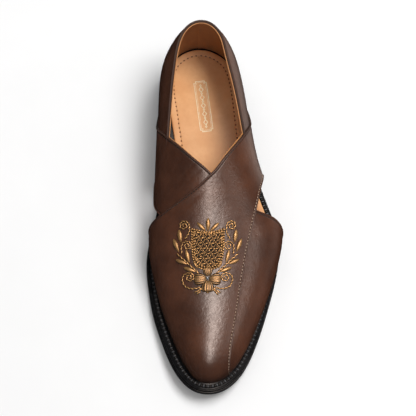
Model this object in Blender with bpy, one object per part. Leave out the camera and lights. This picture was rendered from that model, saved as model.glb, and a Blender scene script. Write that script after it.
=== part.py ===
"""Peshawari sandal, the wearer's left shoe, standing empty on its sole.

Metres, +Z up. The toe points to -Y, the medial side is -X and the lateral side is +X.
The origin is on the ground, under the middle of the heel.

The whole shoe is worked out from one last. A station runs from 0 at the back of the heel to 1 at
the tip of the toe, evenly through the rows of SECTIONS. At each station, q runs from -1 on the
medial feather line, over 0 on the ridge, to +1 on the lateral feather line. The feather line is
where the upper meets the welt.
"""
import bmesh
import bpy
import numpy as np

# Driving dimensions
SHOE_LENGTH = 0.298
BALL_WIDTH = 0.108
INSTEP_HEIGHT = 0.068
HEEL_HEIGHT = 0.020
HEEL_LENGTH = 0.066
HEEL_BACK = 0.036
TOE_SPRING = 0.010

# Layers of the bottom
OUTSOLE_THICKNESS = 0.0050
WELT_THICKNESS = 0.0034
INSOLE_THICKNESS = 0.0025
TOP_PIECE_THICKNESS = 0.0062
WELT_MARGIN = 0.0085
WELT_STEP = 0.0007
HEEL_STEP = 0.0010
HEEL_TAPER = 0.0012
INSOLE_MARGIN = 0.0005
INSOLE_WAIST_CUT = 0.0090
EDGE_ROUND = 0.0007

# Walls of the upper
QUARTER_WALL = 0.0018
UNDER_STRAP_WALL = 0.0020
OVER_STRAP_WALL = 0.0022
LAYER_BITE = 0.0012

# Gap left between two pieces that touch
CLEARANCE = 0.0003

# Stations between which the ridge's steepness is followed across to the sides
LEVEL_BEFORE = 0.30
STEEP_UNTIL = 0.86

# Share of the stations next to each end of the ridge, over which its direction is steadied
RIDGE_END = 0.03

# Where the arch and the toe spring begin and end, as shares of the length from the heel
ARCH_START = 0.17
ARCH_END = 0.56
SPRING_START = 0.66

# The last. along and ridge_along are shares of the length, centre, medial and lateral are shares
# of the ball width, the insets are shares of the welt margin and ridge is a share of the instep
# height. wall, top and the leans are the handles of each side's curve, as shares of its own
# height and width.
SECTION_COLUMNS = ("along", "centre", "medial", "lateral", "inset_medial", "inset_lateral",
                   "ridge_along", "ridge", "wall", "top", "lean_medial", "lean_lateral")
SECTIONS = (
    (0.000, -0.008, 0.000, 0.000, 0.62, 0.62, 0.120, 1.08, 0.50, 1.04, 0.16, 0.16),
    (0.016, -0.008, 0.152, 0.156, 0.62, 0.62, 0.126, 1.05, 0.50, 0.94, 0.16, 0.15),
    (0.058, -0.007, 0.266, 0.274, 0.60, 0.62, 0.146, 1.00, 0.49, 0.70, 0.18, 0.12),
    (0.120, -0.005, 0.316, 0.326, 0.55, 0.62, 0.180, 0.98, 0.46, 0.55, 0.27, 0.15),
    (0.205, 0.000, 0.331, 0.344, 0.50, 0.62, 0.235, 0.99, 0.45, 0.54, 0.39, 0.24),
    (0.300, 0.000, 0.335, 0.365, 0.45, 0.62, 0.310, 1.00, 0.45, 0.56, 0.48, 0.30),
    (0.395, -0.005, 0.342, 0.415, 0.45, 0.60, 0.395, 0.99, 0.46, 0.57, 0.54, 0.30),
    (0.480, -0.005, 0.375, 0.490, 0.60, 0.60, 0.480, 0.92, 0.47, 0.58, 0.50, 0.33),
    (0.555, -0.002, 0.435, 0.545, 0.80, 0.62, 0.555, 0.81, 0.48, 0.60, 0.38, 0.33),
    (0.625, 0.000, 0.470, 0.535, 1.00, 0.62, 0.620, 0.70, 0.50, 0.62, 0.24, 0.24),
    (0.695, 0.000, 0.462, 0.492, 1.15, 0.64, 0.685, 0.60, 0.52, 0.61, 0.15, 0.16),
    (0.770, -0.008, 0.427, 0.434, 1.32, 0.74, 0.750, 0.52, 0.53, 0.60, 0.11, 0.11),
    (0.845, -0.020, 0.362, 0.370, 1.42, 0.90, 0.812, 0.45, 0.54, 0.59, 0.09, 0.09),
    (0.910, -0.032, 0.289, 0.300, 1.44, 1.05, 0.862, 0.40, 0.55, 0.58, 0.08, 0.08),
    (0.958, -0.040, 0.210, 0.220, 1.42, 1.15, 0.890, 0.37, 0.55, 0.58, 0.07, 0.07),
    (0.989, -0.043, 0.118, 0.118, 1.36, 1.28, 0.905, 0.355, 0.55, 0.58, 0.07, 0.07),
    (1.000, -0.044, 0.000, 0.000, 1.32, 1.32, 0.910, 0.35, 0.55, 0.58, 0.07, 0.07),
)
ODD_COLUMNS = ("medial", "lateral")

# Collar of the quarter: q of the top edge on each side
COLLAR_COLUMNS = ("station", "medial", "lateral")
COLLAR = (
    (0.000, 0.39, 0.39),
    (0.030, 0.39, 0.38),
    (0.060, 0.39, 0.37),
    (0.120, 0.40, 0.37),
    (0.180, 0.42, 0.40),
    (0.235, 0.45, 0.44),
    (0.290, 0.475, 0.475),
    (0.350, 0.495, 0.50),
)

# Each strap is swept by rungs, from its back edge to its front edge
RUNG_COLUMNS = ("back_station", "back_q", "front_station", "front_q")

# The over strap starts at the lateral waist, crosses the instep and becomes the vamp and the toe
OVER_STRAP = (
    (0.235, 1.00, 0.372, 1.00),
    (0.290, 0.78, 0.398, 0.72),
    (0.335, 0.47, 0.438, 0.505),
    (0.383, 0.19, 0.473, 0.42),
    (0.417, 0.03, 0.508, 0.370),
    (0.453, -0.235, 0.555, 0.325),
    (0.480, -0.52, 0.615, 0.322),
    (0.495, -0.80, 0.660, 0.332),
    (0.512, -1.00, 0.700, 0.345),
    (0.600, -1.00, 0.745, 0.37),
    (0.700, -1.00, 0.790, 0.40),
    (0.800, -1.00, 0.835, 0.47),
    (0.880, -1.00, 0.868, 0.60),
    (0.930, -1.00, 0.888, 0.80),
    (0.960, -1.00, 0.902, 1.00),
    (0.980, -1.00, 0.945, 1.00),
    (1.000, -1.00, 1.000, 1.00),
)

# The under strap starts at the medial waist, passes below the other and ends as the lateral side
# of the toe
UNDER_STRAP = (
    (0.235, -1.00, 0.372, -1.00),
    (0.285, -0.85, 0.395, -0.84),
    (0.323, -0.57, 0.448, -0.715),
    (0.357, -0.345, 0.485, -0.535),
    (0.385, -0.18, 0.530, -0.30),
    (0.417, 0.03, 0.600, -0.05),
    (0.455, 0.24, 0.690, 0.10),
    (0.485, 0.405, 0.790, 0.20),
    (0.493, 0.60, 0.870, 0.38),
    (0.508, 0.80, 0.910, 0.68),
    (0.530, 1.00, 0.925, 1.00),
)

# The insole is cut in at the medial waist: shares of INSOLE_WAIST_CUT
WAIST_COLUMNS = ("station", "cut")
WAIST_CUT = (
    (0.000, 0.00),
    (0.120, 0.00),
    (0.200, 0.18),
    (0.270, 0.60),
    (0.340, 1.00),
    (0.420, 0.90),
    (0.500, 0.35),
    (0.580, 0.00),
    (1.000, 0.00),
)

# How finely each surface is laid out
SOLE_STATIONS = 52
HEEL_STATIONS = 22
QUARTER_STEPS = 34
COLLAR_STEPS = 7
OVER_STEPS_PER_RUNG = 3
OVER_STEPS_ACROSS = 16
UNDER_STEPS_PER_RUNG = 3
UNDER_STEPS_ACROSS = 9

# Rungs between which the over strap climbs from the quarter onto the under strap
CLIMB_START = 0.5
CLIMB_END = 3.0

# Step of station or q over which a direction is measured
NUDGE = 1e-4

# Samples of the last's length when a station is looked up
LENGTH_SAMPLES = 400

# Points closer than this are one, and an edge sharper than this stays sharp
SAME_POINT = 1e-6
SHARP_ANGLE = np.radians(40.0)

# Largest rounding of a plate's edge, as a share of its thickness
ROUND_LIMIT = 0.3


def columns(names, rows):
    """Columns of a table by name."""
    return {name: np.array([row[i] for row in rows]) for i, name in enumerate(names)}


LAST = columns(SECTION_COLUMNS, SECTIONS)


def spline(values, station, odd):
    """Smooth cubic through evenly spaced values, continued past both ends as an even or an odd
    function, so that the shape closes round over the heel and the toe."""
    known = np.asarray(values, float)
    sign = -1.0 if odd else 1.0
    knots = np.concatenate([sign * known[3:0:-1], known, sign * known[-2:-5:-1]])
    count = len(knots)
    matrix = np.diag(np.full(count, 4.0)) + np.diag(np.ones(count - 1), 1)
    matrix += np.diag(np.ones(count - 1), -1)
    right = np.zeros(count)
    right[1:-1] = 3.0 * (knots[2:] - knots[:-2])
    matrix[0, :] = 0.0
    matrix[0, 0] = 1.0
    matrix[-1, :] = 0.0
    matrix[-1, -1] = 1.0
    slope = np.linalg.solve(matrix, right)
    place = np.asarray(station, float) * (len(known) - 1) + 3
    i = np.clip(np.floor(place).astype(int), 0, count - 2)
    f = place - i
    return (knots[i] * (2 * f**3 - 3 * f**2 + 1) + slope[i] * (f**3 - 2 * f**2 + f)
            + knots[i + 1] * (3 * f**2 - 2 * f**3) + slope[i + 1] * (f**3 - f**2))


def section(name, station):
    """One column of SECTIONS at any station."""
    return spline(LAST[name], station, name in ODD_COLUMNS)


def follow(knots, values, at):
    """Smooth curve through the values that never swings past them."""
    knots = np.asarray(knots, float)
    values = np.asarray(values, float)
    step = np.diff(knots)
    rise = np.diff(values) / step
    slope = np.zeros_like(values)
    slope[0] = rise[0]
    slope[-1] = rise[-1]
    before = 2 * step[1:] + step[:-1]
    after = step[1:] + 2 * step[:-1]
    same_way = rise[1:] * rise[:-1] > 0
    low = np.where(same_way, rise[:-1], 1.0)
    high = np.where(same_way, rise[1:], 1.0)
    slope[1:-1] = np.where(same_way, (before + after) / (before / low + after / high), 0.0)
    i = np.clip(np.searchsorted(knots, at, side="right") - 1, 0, len(step) - 1)
    f = (at - knots[i]) / step[i]
    return (values[i] * (2 * f**3 - 3 * f**2 + 1) + slope[i] * step[i] * (f**3 - 2 * f**2 + f)
            + values[i + 1] * (3 * f**2 - 2 * f**3) + slope[i + 1] * step[i] * (f**3 - f**2))


def ease(share):
    """0 to 1 with level ends."""
    share = np.clip(share, 0.0, 1.0)
    return share * share * (3.0 - 2.0 * share)


def y_at(along):
    """Y of a share of the length from the heel."""
    return HEEL_BACK - SHOE_LENGTH * along


def underside(y):
    """Height of the outsole's underside over the ground: heel seat, arch, flat ball, toe spring."""
    along = (HEEL_BACK - y) / SHOE_LENGTH
    arch = HEEL_HEIGHT * (1.0 - ease((along - ARCH_START) / (ARCH_END - ARCH_START)))
    spring = np.clip((along - SPRING_START) / (1.0 - SPRING_START), 0.0, None)
    return arch + TOE_SPRING * spring**2


def outsole_top(y):
    return underside(y) + OUTSOLE_THICKNESS


def welt_top(y):
    return outsole_top(y) + CLEARANCE + WELT_THICKNESS


def outline(station, side, inset):
    """Plan outline of the sole, moved in by inset. side is -1 medial, +1 lateral. Gives x and y
    and the outward direction."""
    station = np.asarray(station, float)

    def edge(at):
        half = np.where(side < 0, section("medial", at), section("lateral", at))
        return (section("centre", at) + side * half) * BALL_WIDTH, y_at(section("along", at))

    x, y = edge(station)
    x_before, y_before = edge(station - NUDGE)
    x_after, y_after = edge(station + NUDGE)
    run = np.hypot(x_after - x_before, y_after - y_before)
    out_x = -side * (y_after - y_before) / run
    out_y = side * (x_after - x_before) / run
    return x - out_x * inset, y - out_y * inset, out_x, out_y


def feather_inset(station, side):
    """From the sole's edge in to the feather line."""
    share = np.where(side < 0, section("inset_medial", station), section("inset_lateral", station))
    return WELT_MARGIN * share


def ridge(station):
    """Y and Z of the ridge, and how steeply it runs there. The ends, where it hardly moves, take
    the steepness of the stations next to them."""
    def line(at):
        y = y_at(section("ridge_along", at))
        return y, welt_top(y) + INSTEP_HEIGHT * section("ridge", at)

    inner = np.clip(station, LEVEL_BEFORE, STEEP_UNTIL)
    y_before, z_before = line(inner - RIDGE_END)
    y_after, z_after = line(inner + RIDGE_END)
    y, z = line(station)
    slope = (z_after - z_before) / (y_after - y_before) * ease(station / LEVEL_BEFORE)
    return y, z, slope


def last_point(station, q):
    """Point of the last. Each side is one cubic curve, from its feather point up the wall and over
    to the ridge, level across the ridge."""
    side = np.where(q < 0, -1.0, 1.0)
    g = 1.0 - np.abs(q)
    foot_x, foot_y, out_x, out_y = outline(station, side, feather_inset(station, side))
    foot_z = welt_top(foot_y) + CLEARANCE
    top_x = section("centre", station) * BALL_WIDTH
    top_y, top_z, slope = ridge(station)
    across_x = top_x - foot_x
    across_y = top_y - foot_y
    reach = np.hypot(across_x, across_y)
    rise = top_z - foot_z
    lean = np.where(side < 0, section("lean_medial", station), section("lean_lateral", station))
    top = section("top", station)
    handles = (
        (foot_x, foot_y, foot_z),
        (foot_x + out_x * lean * reach, foot_y + out_y * lean * reach,
         foot_z + section("wall", station) * rise),
        (top_x - across_x * top, top_y - across_y * top, top_z - slope * across_y * top),
        (top_x, top_y, top_z),
    )
    weights = ((1 - g)**3, 3 * g * (1 - g)**2, 3 * g * g * (1 - g), g**3)
    return np.stack([sum(w * h[i] for w, h in zip(weights, handles)) for i in range(3)], axis=-1)


def raised_point(station, q, depth):
    """Point at a depth of leather outside the last, square to it. Near the two ends of the ridge,
    where the sections meet, the direction is taken from just before the end."""
    short = RIDGE_END * (1.0 - np.abs(q))
    near = np.clip(station, short, 1.0 - short)
    along = last_point(np.minimum(near + NUDGE, 1), q) - last_point(np.maximum(near - NUDGE, 0), q)
    over = last_point(near, np.minimum(q + NUDGE, 1)) - last_point(near, np.maximum(q - NUDGE, -1))
    normal = np.cross(along, over)
    normal /= np.linalg.norm(normal, axis=-1, keepdims=True)
    return last_point(station, q) + normal * depth[..., None]


def wall_point(station, q, depth, lift):
    """raised_point with both sides joined where they meet over the heel and the toe, and with its
    lower edge cut level, lift above the welt."""
    station, q, depth = np.broadcast_arrays(station, q, depth)
    point = raised_point(station, q, depth)
    mirrored = raised_point(station, -q, depth)
    ends = (station <= 0.0) | (station >= 1.0)
    point = np.where(ends[..., None], (point + mirrored) / 2, point)
    floor = welt_top(point[..., 1]) + lift
    lowest = np.abs(q) >= 1.0
    point[..., 2] = np.where(lowest, floor, np.maximum(point[..., 2], floor))
    return point


def new_object(name, vertices, faces, collection):
    """Closed mesh object with its faces turned outwards."""
    mesh = bpy.data.meshes.new(name)
    mesh.from_pydata([tuple(v) for v in vertices], [], faces)
    shape = bmesh.new()
    shape.from_mesh(mesh)
    bmesh.ops.remove_doubles(shape, verts=shape.verts, dist=SAME_POINT)
    bmesh.ops.recalc_face_normals(shape, faces=shape.faces)
    shape.to_mesh(mesh)
    shape.free()
    mesh.shade_smooth()
    mesh.set_sharp_from_angle(angle=SHARP_ANGLE)
    thing = bpy.data.objects.new(name, mesh)
    collection.objects.link(thing)
    return thing


def stacked(name, stations, layers, collection):
    """Solid between a pile of outlines. Each layer is an inset of station and side, and a height
    of y. The ends and the two faces are closed by rungs from side to side."""
    closed = 1 if stations[-1] >= 1.0 else 0
    rings = []
    for inset, height in layers:
        edges = []
        for side in (-1.0, 1.0):
            x, y, _, _ = outline(stations, side, inset(stations, side))
            edges.append(np.stack([x, y, height(y)], axis=-1))
        medial, lateral = edges
        rings.append(np.concatenate([medial, lateral[::-1][closed:-1]]))
    size = len(rings[0])
    last = len(stations) - 1
    faces = []
    for level in range(len(rings) - 1):
        for i in range(size):
            j = (i + 1) % size
            low = level * size
            faces.append((low + i, low + j, low + size + j, low + size + i))
    for low in (0, (len(rings) - 1) * size):
        for i in range(last):
            rung = (i, i + 1, (size - i - 1) % size, (size - i) % size)
            faces.append(tuple(low + corner for corner in dict.fromkeys(rung)))
    return new_object(name, np.concatenate(rings), faces, collection)


def rim(bottom, top, inset, thickness):
    """Layers of a plate whose edge is slightly rounded."""
    soften = min(EDGE_ROUND, ROUND_LIMIT * thickness)
    return (
        (lambda s, side: inset(s, side) + soften, bottom),
        (inset, lambda y: bottom(y) + soften),
        (inset, lambda y: top(y) - soften),
        (lambda s, side: inset(s, side) + soften, top),
    )


def between(outer, inner, folded):
    """Vertices and faces of the solid between two grids of points. A folded last row already
    closes on itself."""
    rows, columns = outer.shape[:2]
    count = rows * columns
    number = np.arange(count).reshape(rows, columns)
    faces = []
    for i in range(rows - 1):
        for j in range(columns - 1):
            quad = (number[i, j], number[i + 1, j], number[i + 1, j + 1], number[i, j + 1])
            faces.append(tuple(int(v) for v in quad))
            faces.append(tuple(int(v) + count for v in reversed(quad)))
    borders = [number[:, 0], number[:, -1], number[0, :]]
    if not folded:
        borders.append(number[-1, :])
    for border in borders:
        for a, b in zip(border[:-1], border[1:]):
            faces.append((int(a), int(b), int(b) + count, int(a) + count))
    return np.concatenate([outer.reshape(-1, 3), inner.reshape(-1, 3)]), faces


def station_at(along):
    """Station whose section lies at a share of the length."""
    stations = np.linspace(0.0, 1.0, LENGTH_SAMPLES)
    return float(np.interp(along, section("along", stations), stations))


def quarter(collection):
    """Back part of the upper, from one waist round the heel to the other."""
    edge = columns(COLLAR_COLUMNS, COLLAR)
    reach = edge["station"][-1]
    ring = np.linspace(-reach, reach, 2 * (QUARTER_STEPS // 2) + 1)[:, None]
    up = np.linspace(0.0, 1.0, COLLAR_STEPS + 1)[None, :]
    station = np.abs(ring)
    side = np.where(ring < 0, -1.0, 1.0)
    medial = follow(edge["station"], edge["medial"], station)
    lateral = follow(edge["station"], edge["lateral"], station)
    middle = (medial + lateral) / 2
    collar = np.where(station == 0, middle, np.where(side < 0, medial, lateral))
    q = side * (1.0 - (1.0 - collar) * up)
    lift = 2 * CLEARANCE
    outer = wall_point(station, q, QUARTER_WALL, lift)
    inner = wall_point(station, q, 0.0, lift)
    return new_object("upper", *between(outer, inner, False), collection)


def strap(name, table, steps, across, base, wall, folded, collection):
    """One strap, laid on the last at the depth that base gives for each rung."""
    rungs = columns(RUNG_COLUMNS, table)
    index = np.arange(len(table))
    along = np.linspace(0.0, index[-1], steps * index[-1] + 1)
    at = {name: follow(index, values, along)[:, None] for name, values in rungs.items()}
    share = np.linspace(0.0, 1.0, across + 1)[None, :]
    station = at["back_station"] + (at["front_station"] - at["back_station"]) * share
    q = at["back_q"] + (at["front_q"] - at["back_q"]) * share
    station = np.clip(station, 0.0, 1.0)
    q = np.clip(q, -1.0, 1.0)
    depth = base(along)[:, None]
    outer = wall_point(station, q, depth + wall, CLEARANCE)
    inner = wall_point(station, q, depth, CLEARANCE)
    return new_object(name, *between(outer, inner, folded), collection)


def join(target, tool):
    """Boolean union that stays on the target."""
    tool.hide_render = True
    tool.display_type = "WIRE"
    union = target.modifiers.new("join_" + tool.name, "BOOLEAN")
    union.operation = "UNION"
    union.solver = "EXACT"
    union.object = tool


def material(name, colour, roughness):
    """Plain Principled material. colour is sRGB, 0 to 1."""
    finish = bpy.data.materials.new(name)
    finish.use_nodes = True
    shader = finish.node_tree.nodes["Principled BSDF"]
    linear = [((c + 0.055) / 1.055)**2.4 for c in colour]
    shader.inputs["Base Color"].default_value = (*linear, 1.0)
    shader.inputs["Roughness"].default_value = roughness
    shader.inputs["Metallic"].default_value = 0.0
    finish.diffuse_color = (*linear, 1.0)
    return finish


def build_bottom(parts):
    """Heel, outsole, welt and insole, from the ground up."""
    whole = np.linspace(0.0, 1.0, SOLE_STATIONS + 1)
    heel_end = station_at(HEEL_LENGTH / SHOE_LENGTH)
    under_heel = np.linspace(0.0, heel_end, HEEL_STATIONS + 1)

    def ground(y):
        return np.zeros_like(y)

    def lift_top(y):
        return np.full_like(y, TOP_PIECE_THICKNESS)

    def stack_bottom(y):
        return lift_top(y) + CLEARANCE

    def stack_top(y):
        return underside(y) - CLEARANCE

    def outsole_edge(station, side):
        return 0.0 * station

    def welt_edge(station, side):
        return outsole_edge(station, side) + WELT_STEP

    def heel_foot(station, side):
        return outsole_edge(station, side) + HEEL_STEP + HEEL_TAPER

    def insole_edge(station, side):
        waist = columns(WAIST_COLUMNS, WAIST_CUT)
        cut = np.where(side < 0, follow(waist["station"], waist["cut"], station), 0.0)
        return feather_inset(station, side) + INSOLE_MARGIN + INSOLE_WAIST_CUT * cut

    def stack_waist(station, side):
        return outsole_edge(station, side) + HEEL_STEP

    top_piece = stacked("heel_top_piece", under_heel,
                        rim(ground, lift_top, heel_foot, TOP_PIECE_THICKNESS), parts)
    stack = stacked("heel_stack", under_heel,
                    ((heel_foot, stack_bottom), (stack_waist, stack_top)), parts)
    outsole = stacked("outsole", whole,
                      rim(underside, outsole_top, outsole_edge, OUTSOLE_THICKNESS), parts)
    welt = stacked("welt", whole,
                   rim(lambda y: outsole_top(y) + CLEARANCE, welt_top, welt_edge, WELT_THICKNESS),
                   parts)
    insole = stacked("insole", whole,
                     rim(lambda y: welt_top(y) + CLEARANCE,
                         lambda y: welt_top(y) + CLEARANCE + INSOLE_THICKNESS,
                         insole_edge, INSOLE_THICKNESS), parts)
    top_piece.data.materials.append(material("heel_rubber", (0.08, 0.08, 0.08), 0.7))
    stack.data.materials.append(material("heel_leather", (0.10, 0.09, 0.09), 0.4))
    outsole.data.materials.append(material("outsole_leather", (0.12, 0.12, 0.12), 0.5))
    welt.data.materials.append(material("welt_leather", (0.07, 0.07, 0.07), 0.45))
    insole.data.materials.append(material("insole_leather", (0.80, 0.59, 0.41), 0.55))


def build_upper(parts, cutters):
    """Quarter and the two straps, joined to one wall."""
    on_quarter = QUARTER_WALL - LAYER_BITE
    on_under = on_quarter + UNDER_STRAP_WALL - LAYER_BITE

    def under_base(rung):
        return np.full_like(rung, on_quarter)

    def over_base(rung):
        climb = ease((rung - CLIMB_START) / (CLIMB_END - CLIMB_START))
        return on_quarter + (on_under - on_quarter) * climb

    upper = quarter(parts)
    under = strap("under_strap", UNDER_STRAP, UNDER_STEPS_PER_RUNG, UNDER_STEPS_ACROSS,
                  under_base, UNDER_STRAP_WALL, False, cutters)
    over = strap("over_strap", OVER_STRAP, OVER_STEPS_PER_RUNG, OVER_STEPS_ACROSS,
                 over_base, OVER_STRAP_WALL, True, cutters)
    join(upper, under)
    join(upper, over)
    upper.data.materials.append(material("brown_calf", (0.25, 0.15, 0.10), 0.38))


def main():
    for thing in list(bpy.data.objects):
        bpy.data.objects.remove(thing)
    parts = bpy.data.collections.new("peshawari_sandal")
    cutters = bpy.data.collections.new("cutters")
    for collection in (parts, cutters):
        bpy.context.scene.collection.children.link(collection)
    build_bottom(parts)
    build_upper(parts, cutters)


main()
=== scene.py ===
"""Looks of a peshawari sandal, the wearer's left shoe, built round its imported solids.

Metres, +Z up. The toe points to -Y, the medial side is -X and the lateral side is +X. The origin is
on the ground, under the middle of the heel.

The leather is worked out from the same last as the solids. A station runs from 0 at the back of the
heel to 1 at the tip of the toe. At each station, q runs from -1 on the medial feather line, over 0 on
the ridge, to +1 on the lateral feather line. The feather line is where the upper meets the welt.
"""

import bmesh
import bpy
import numpy as np
from bpy.props import FloatProperty, FloatVectorProperty, PointerProperty
from mathutils import Matrix, Vector


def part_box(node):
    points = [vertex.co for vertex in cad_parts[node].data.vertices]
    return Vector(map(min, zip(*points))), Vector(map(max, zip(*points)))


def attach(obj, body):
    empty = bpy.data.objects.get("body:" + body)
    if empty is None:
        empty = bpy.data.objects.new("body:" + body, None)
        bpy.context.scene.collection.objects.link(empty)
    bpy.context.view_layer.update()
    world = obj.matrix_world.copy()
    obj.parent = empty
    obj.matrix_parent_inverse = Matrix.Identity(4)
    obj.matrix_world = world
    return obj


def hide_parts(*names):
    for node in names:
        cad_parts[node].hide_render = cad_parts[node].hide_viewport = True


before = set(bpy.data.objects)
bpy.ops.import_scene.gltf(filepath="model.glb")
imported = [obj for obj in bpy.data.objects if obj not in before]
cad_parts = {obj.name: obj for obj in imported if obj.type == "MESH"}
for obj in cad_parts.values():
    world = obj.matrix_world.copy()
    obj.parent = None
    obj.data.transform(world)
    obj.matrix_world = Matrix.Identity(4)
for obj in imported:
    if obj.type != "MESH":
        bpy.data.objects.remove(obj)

bl_info = {
    "name": "Peshawari Sandal Finish",
    "version": (1, 0, 0),
    "blender": (4, 5, 0),
    "location": "View3D > Sidebar > Sandal",
    "description": "Leather, linings, seams, embroidery and stage of a peshawari sandal",
    "category": "Object",
}

MM = 0.001
BODY = "root"

# Driving sizes of the last, read from the frame where it has them
SOLE_LOW, SOLE_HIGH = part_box("outsole")
TOP_PIECE_LOW, TOP_PIECE_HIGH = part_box("heel_top_piece")
SHOE_LENGTH = SOLE_HIGH.y - SOLE_LOW.y
HEEL_BACK = SOLE_HIGH.y
TOP_PIECE_THICKNESS = TOP_PIECE_HIGH.z - TOP_PIECE_LOW.z
BALL_WIDTH = 108 * MM
INSTEP_HEIGHT = 68 * MM
HEEL_HEIGHT = 20 * MM
HEEL_LENGTH = 66 * MM
TOE_SPRING = 10 * MM

# Layers of the bottom, and how far each edge lies in from the one beside it. HEEL_GAP moves the
# insole in round the heel and fades out at station HEEL_GAP_END.
OUTSOLE_THICKNESS = 5.0 * MM
WELT_THICKNESS = 3.4 * MM
INSOLE_THICKNESS = 2.5 * MM
WELT_MARGIN = 8.5 * MM
WELT_STEP = 0.7 * MM
HEEL_STEP = 1.0 * MM
HEEL_TAPER = 1.2 * MM
INSOLE_MARGIN = 0.5 * MM
INSOLE_WAIST_CUT = 9.0 * MM
HEEL_GAP = 1.6 * MM
HEEL_GAP_END = 0.2
CLEARANCE = 0.3 * MM

# Walls of the upper, as depths outside the last. Before it climbs onto the under strap, the over
# strap's face lies OVER_STRAP_STEP over the under strap's.
LINING_WALL = 0.6 * MM
LEATHER_LOW = LINING_WALL + 0.1 * MM
QUARTER_TOP = 1.8 * MM
UNDER_STRAP_TOP = 2.6 * MM
UNDER_LINING_LOW = 0.04 * MM
OVER_STRAP_TOP = 3.6 * MM
OVER_STRAP_WALL = 2.1 * MM
OVER_STRAP_STEP = 0.2 * MM
LEATHER_LIFT = 0.1 * MM

# The ridge's steepness is eased in up to LEVEL_BEFORE and kept from STEEP_UNTIL on. RIDGE_END is how
# near an end of the ridge a direction may be measured.
LEVEL_BEFORE = 0.30
STEEP_UNTIL = 0.86
RIDGE_END = 0.03

# Where the arch and the toe spring begin and end, as shares of the length from the heel
ARCH_START = 0.17
ARCH_END = 0.56
SPRING_START = 0.66

# Step of station or q over which a direction is measured
NUDGE = 1e-4
# Points closer than this are one
SAME_POINT = 1e-6

# The last. along and ridge_along are shares of the length, centre, medial and lateral are shares
# of the ball width, the insets are shares of the welt margin and ridge is a share of the instep
# height. wall, top and the leans are the handles of each side's curve. Over the toe the ridge falls
# up to 1.6 mm more than in the solids.
SECTION_COLUMNS = ("along", "centre", "medial", "lateral", "inset_medial", "inset_lateral",
                   "ridge_along", "ridge", "wall", "top", "lean_medial", "lean_lateral")
SECTIONS = (
    (0.000, -0.008, 0.000, 0.000, 0.62, 0.62, 0.120, 1.08, 0.50, 1.04, 0.16, 0.16),
    (0.016, -0.008, 0.152, 0.156, 0.62, 0.62, 0.126, 1.05, 0.50, 0.94, 0.16, 0.15),
    (0.058, -0.007, 0.266, 0.274, 0.60, 0.62, 0.146, 1.00, 0.49, 0.70, 0.18, 0.12),
    (0.120, -0.005, 0.316, 0.326, 0.55, 0.62, 0.180, 0.98, 0.46, 0.55, 0.27, 0.15),
    (0.205, 0.000, 0.331, 0.344, 0.50, 0.62, 0.235, 0.99, 0.45, 0.54, 0.39, 0.24),
    (0.300, 0.000, 0.335, 0.365, 0.45, 0.62, 0.310, 1.00, 0.45, 0.56, 0.48, 0.30),
    (0.395, -0.005, 0.342, 0.415, 0.45, 0.60, 0.395, 0.99, 0.46, 0.57, 0.54, 0.30),
    (0.480, -0.005, 0.375, 0.490, 0.60, 0.60, 0.480, 0.92, 0.47, 0.58, 0.50, 0.33),
    (0.555, -0.002, 0.435, 0.545, 0.80, 0.62, 0.555, 0.81, 0.48, 0.60, 0.38, 0.33),
    (0.625, 0.000, 0.470, 0.535, 1.00, 0.62, 0.620, 0.70, 0.50, 0.62, 0.24, 0.24),
    (0.695, 0.000, 0.462, 0.492, 1.15, 0.64, 0.685, 0.60, 0.52, 0.61, 0.15, 0.16),
    (0.770, -0.008, 0.427, 0.434, 1.32, 0.74, 0.750, 0.52, 0.53, 0.60, 0.11, 0.11),
    (0.845, -0.020, 0.362, 0.370, 1.42, 0.90, 0.812, 0.45, 0.54, 0.59, 0.09, 0.09),
    (0.910, -0.032, 0.289, 0.300, 1.44, 1.05, 0.862, 0.397, 0.55, 0.58, 0.08, 0.08),
    (0.958, -0.040, 0.210, 0.220, 1.42, 1.15, 0.890, 0.358, 0.55, 0.58, 0.07, 0.07),
    (0.989, -0.043, 0.118, 0.118, 1.36, 1.28, 0.905, 0.334, 0.55, 0.58, 0.07, 0.07),
    (1.000, -0.044, 0.000, 0.000, 1.32, 1.32, 0.910, 0.326, 0.55, 0.58, 0.07, 0.07),
)
# Columns that change sign where the shape is continued past its ends
ODD_COLUMNS = ("medial", "lateral")

# Collar of the quarter: q of the top edge on each side
COLLAR_COLUMNS = ("station", "medial", "lateral")
COLLAR = (
    (0.000, 0.39, 0.39),
    (0.030, 0.39, 0.38),
    (0.060, 0.39, 0.37),
    (0.120, 0.40, 0.37),
    (0.180, 0.42, 0.40),
    (0.235, 0.45, 0.44),
    (0.290, 0.475, 0.475),
    (0.350, 0.495, 0.50),
)

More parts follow.
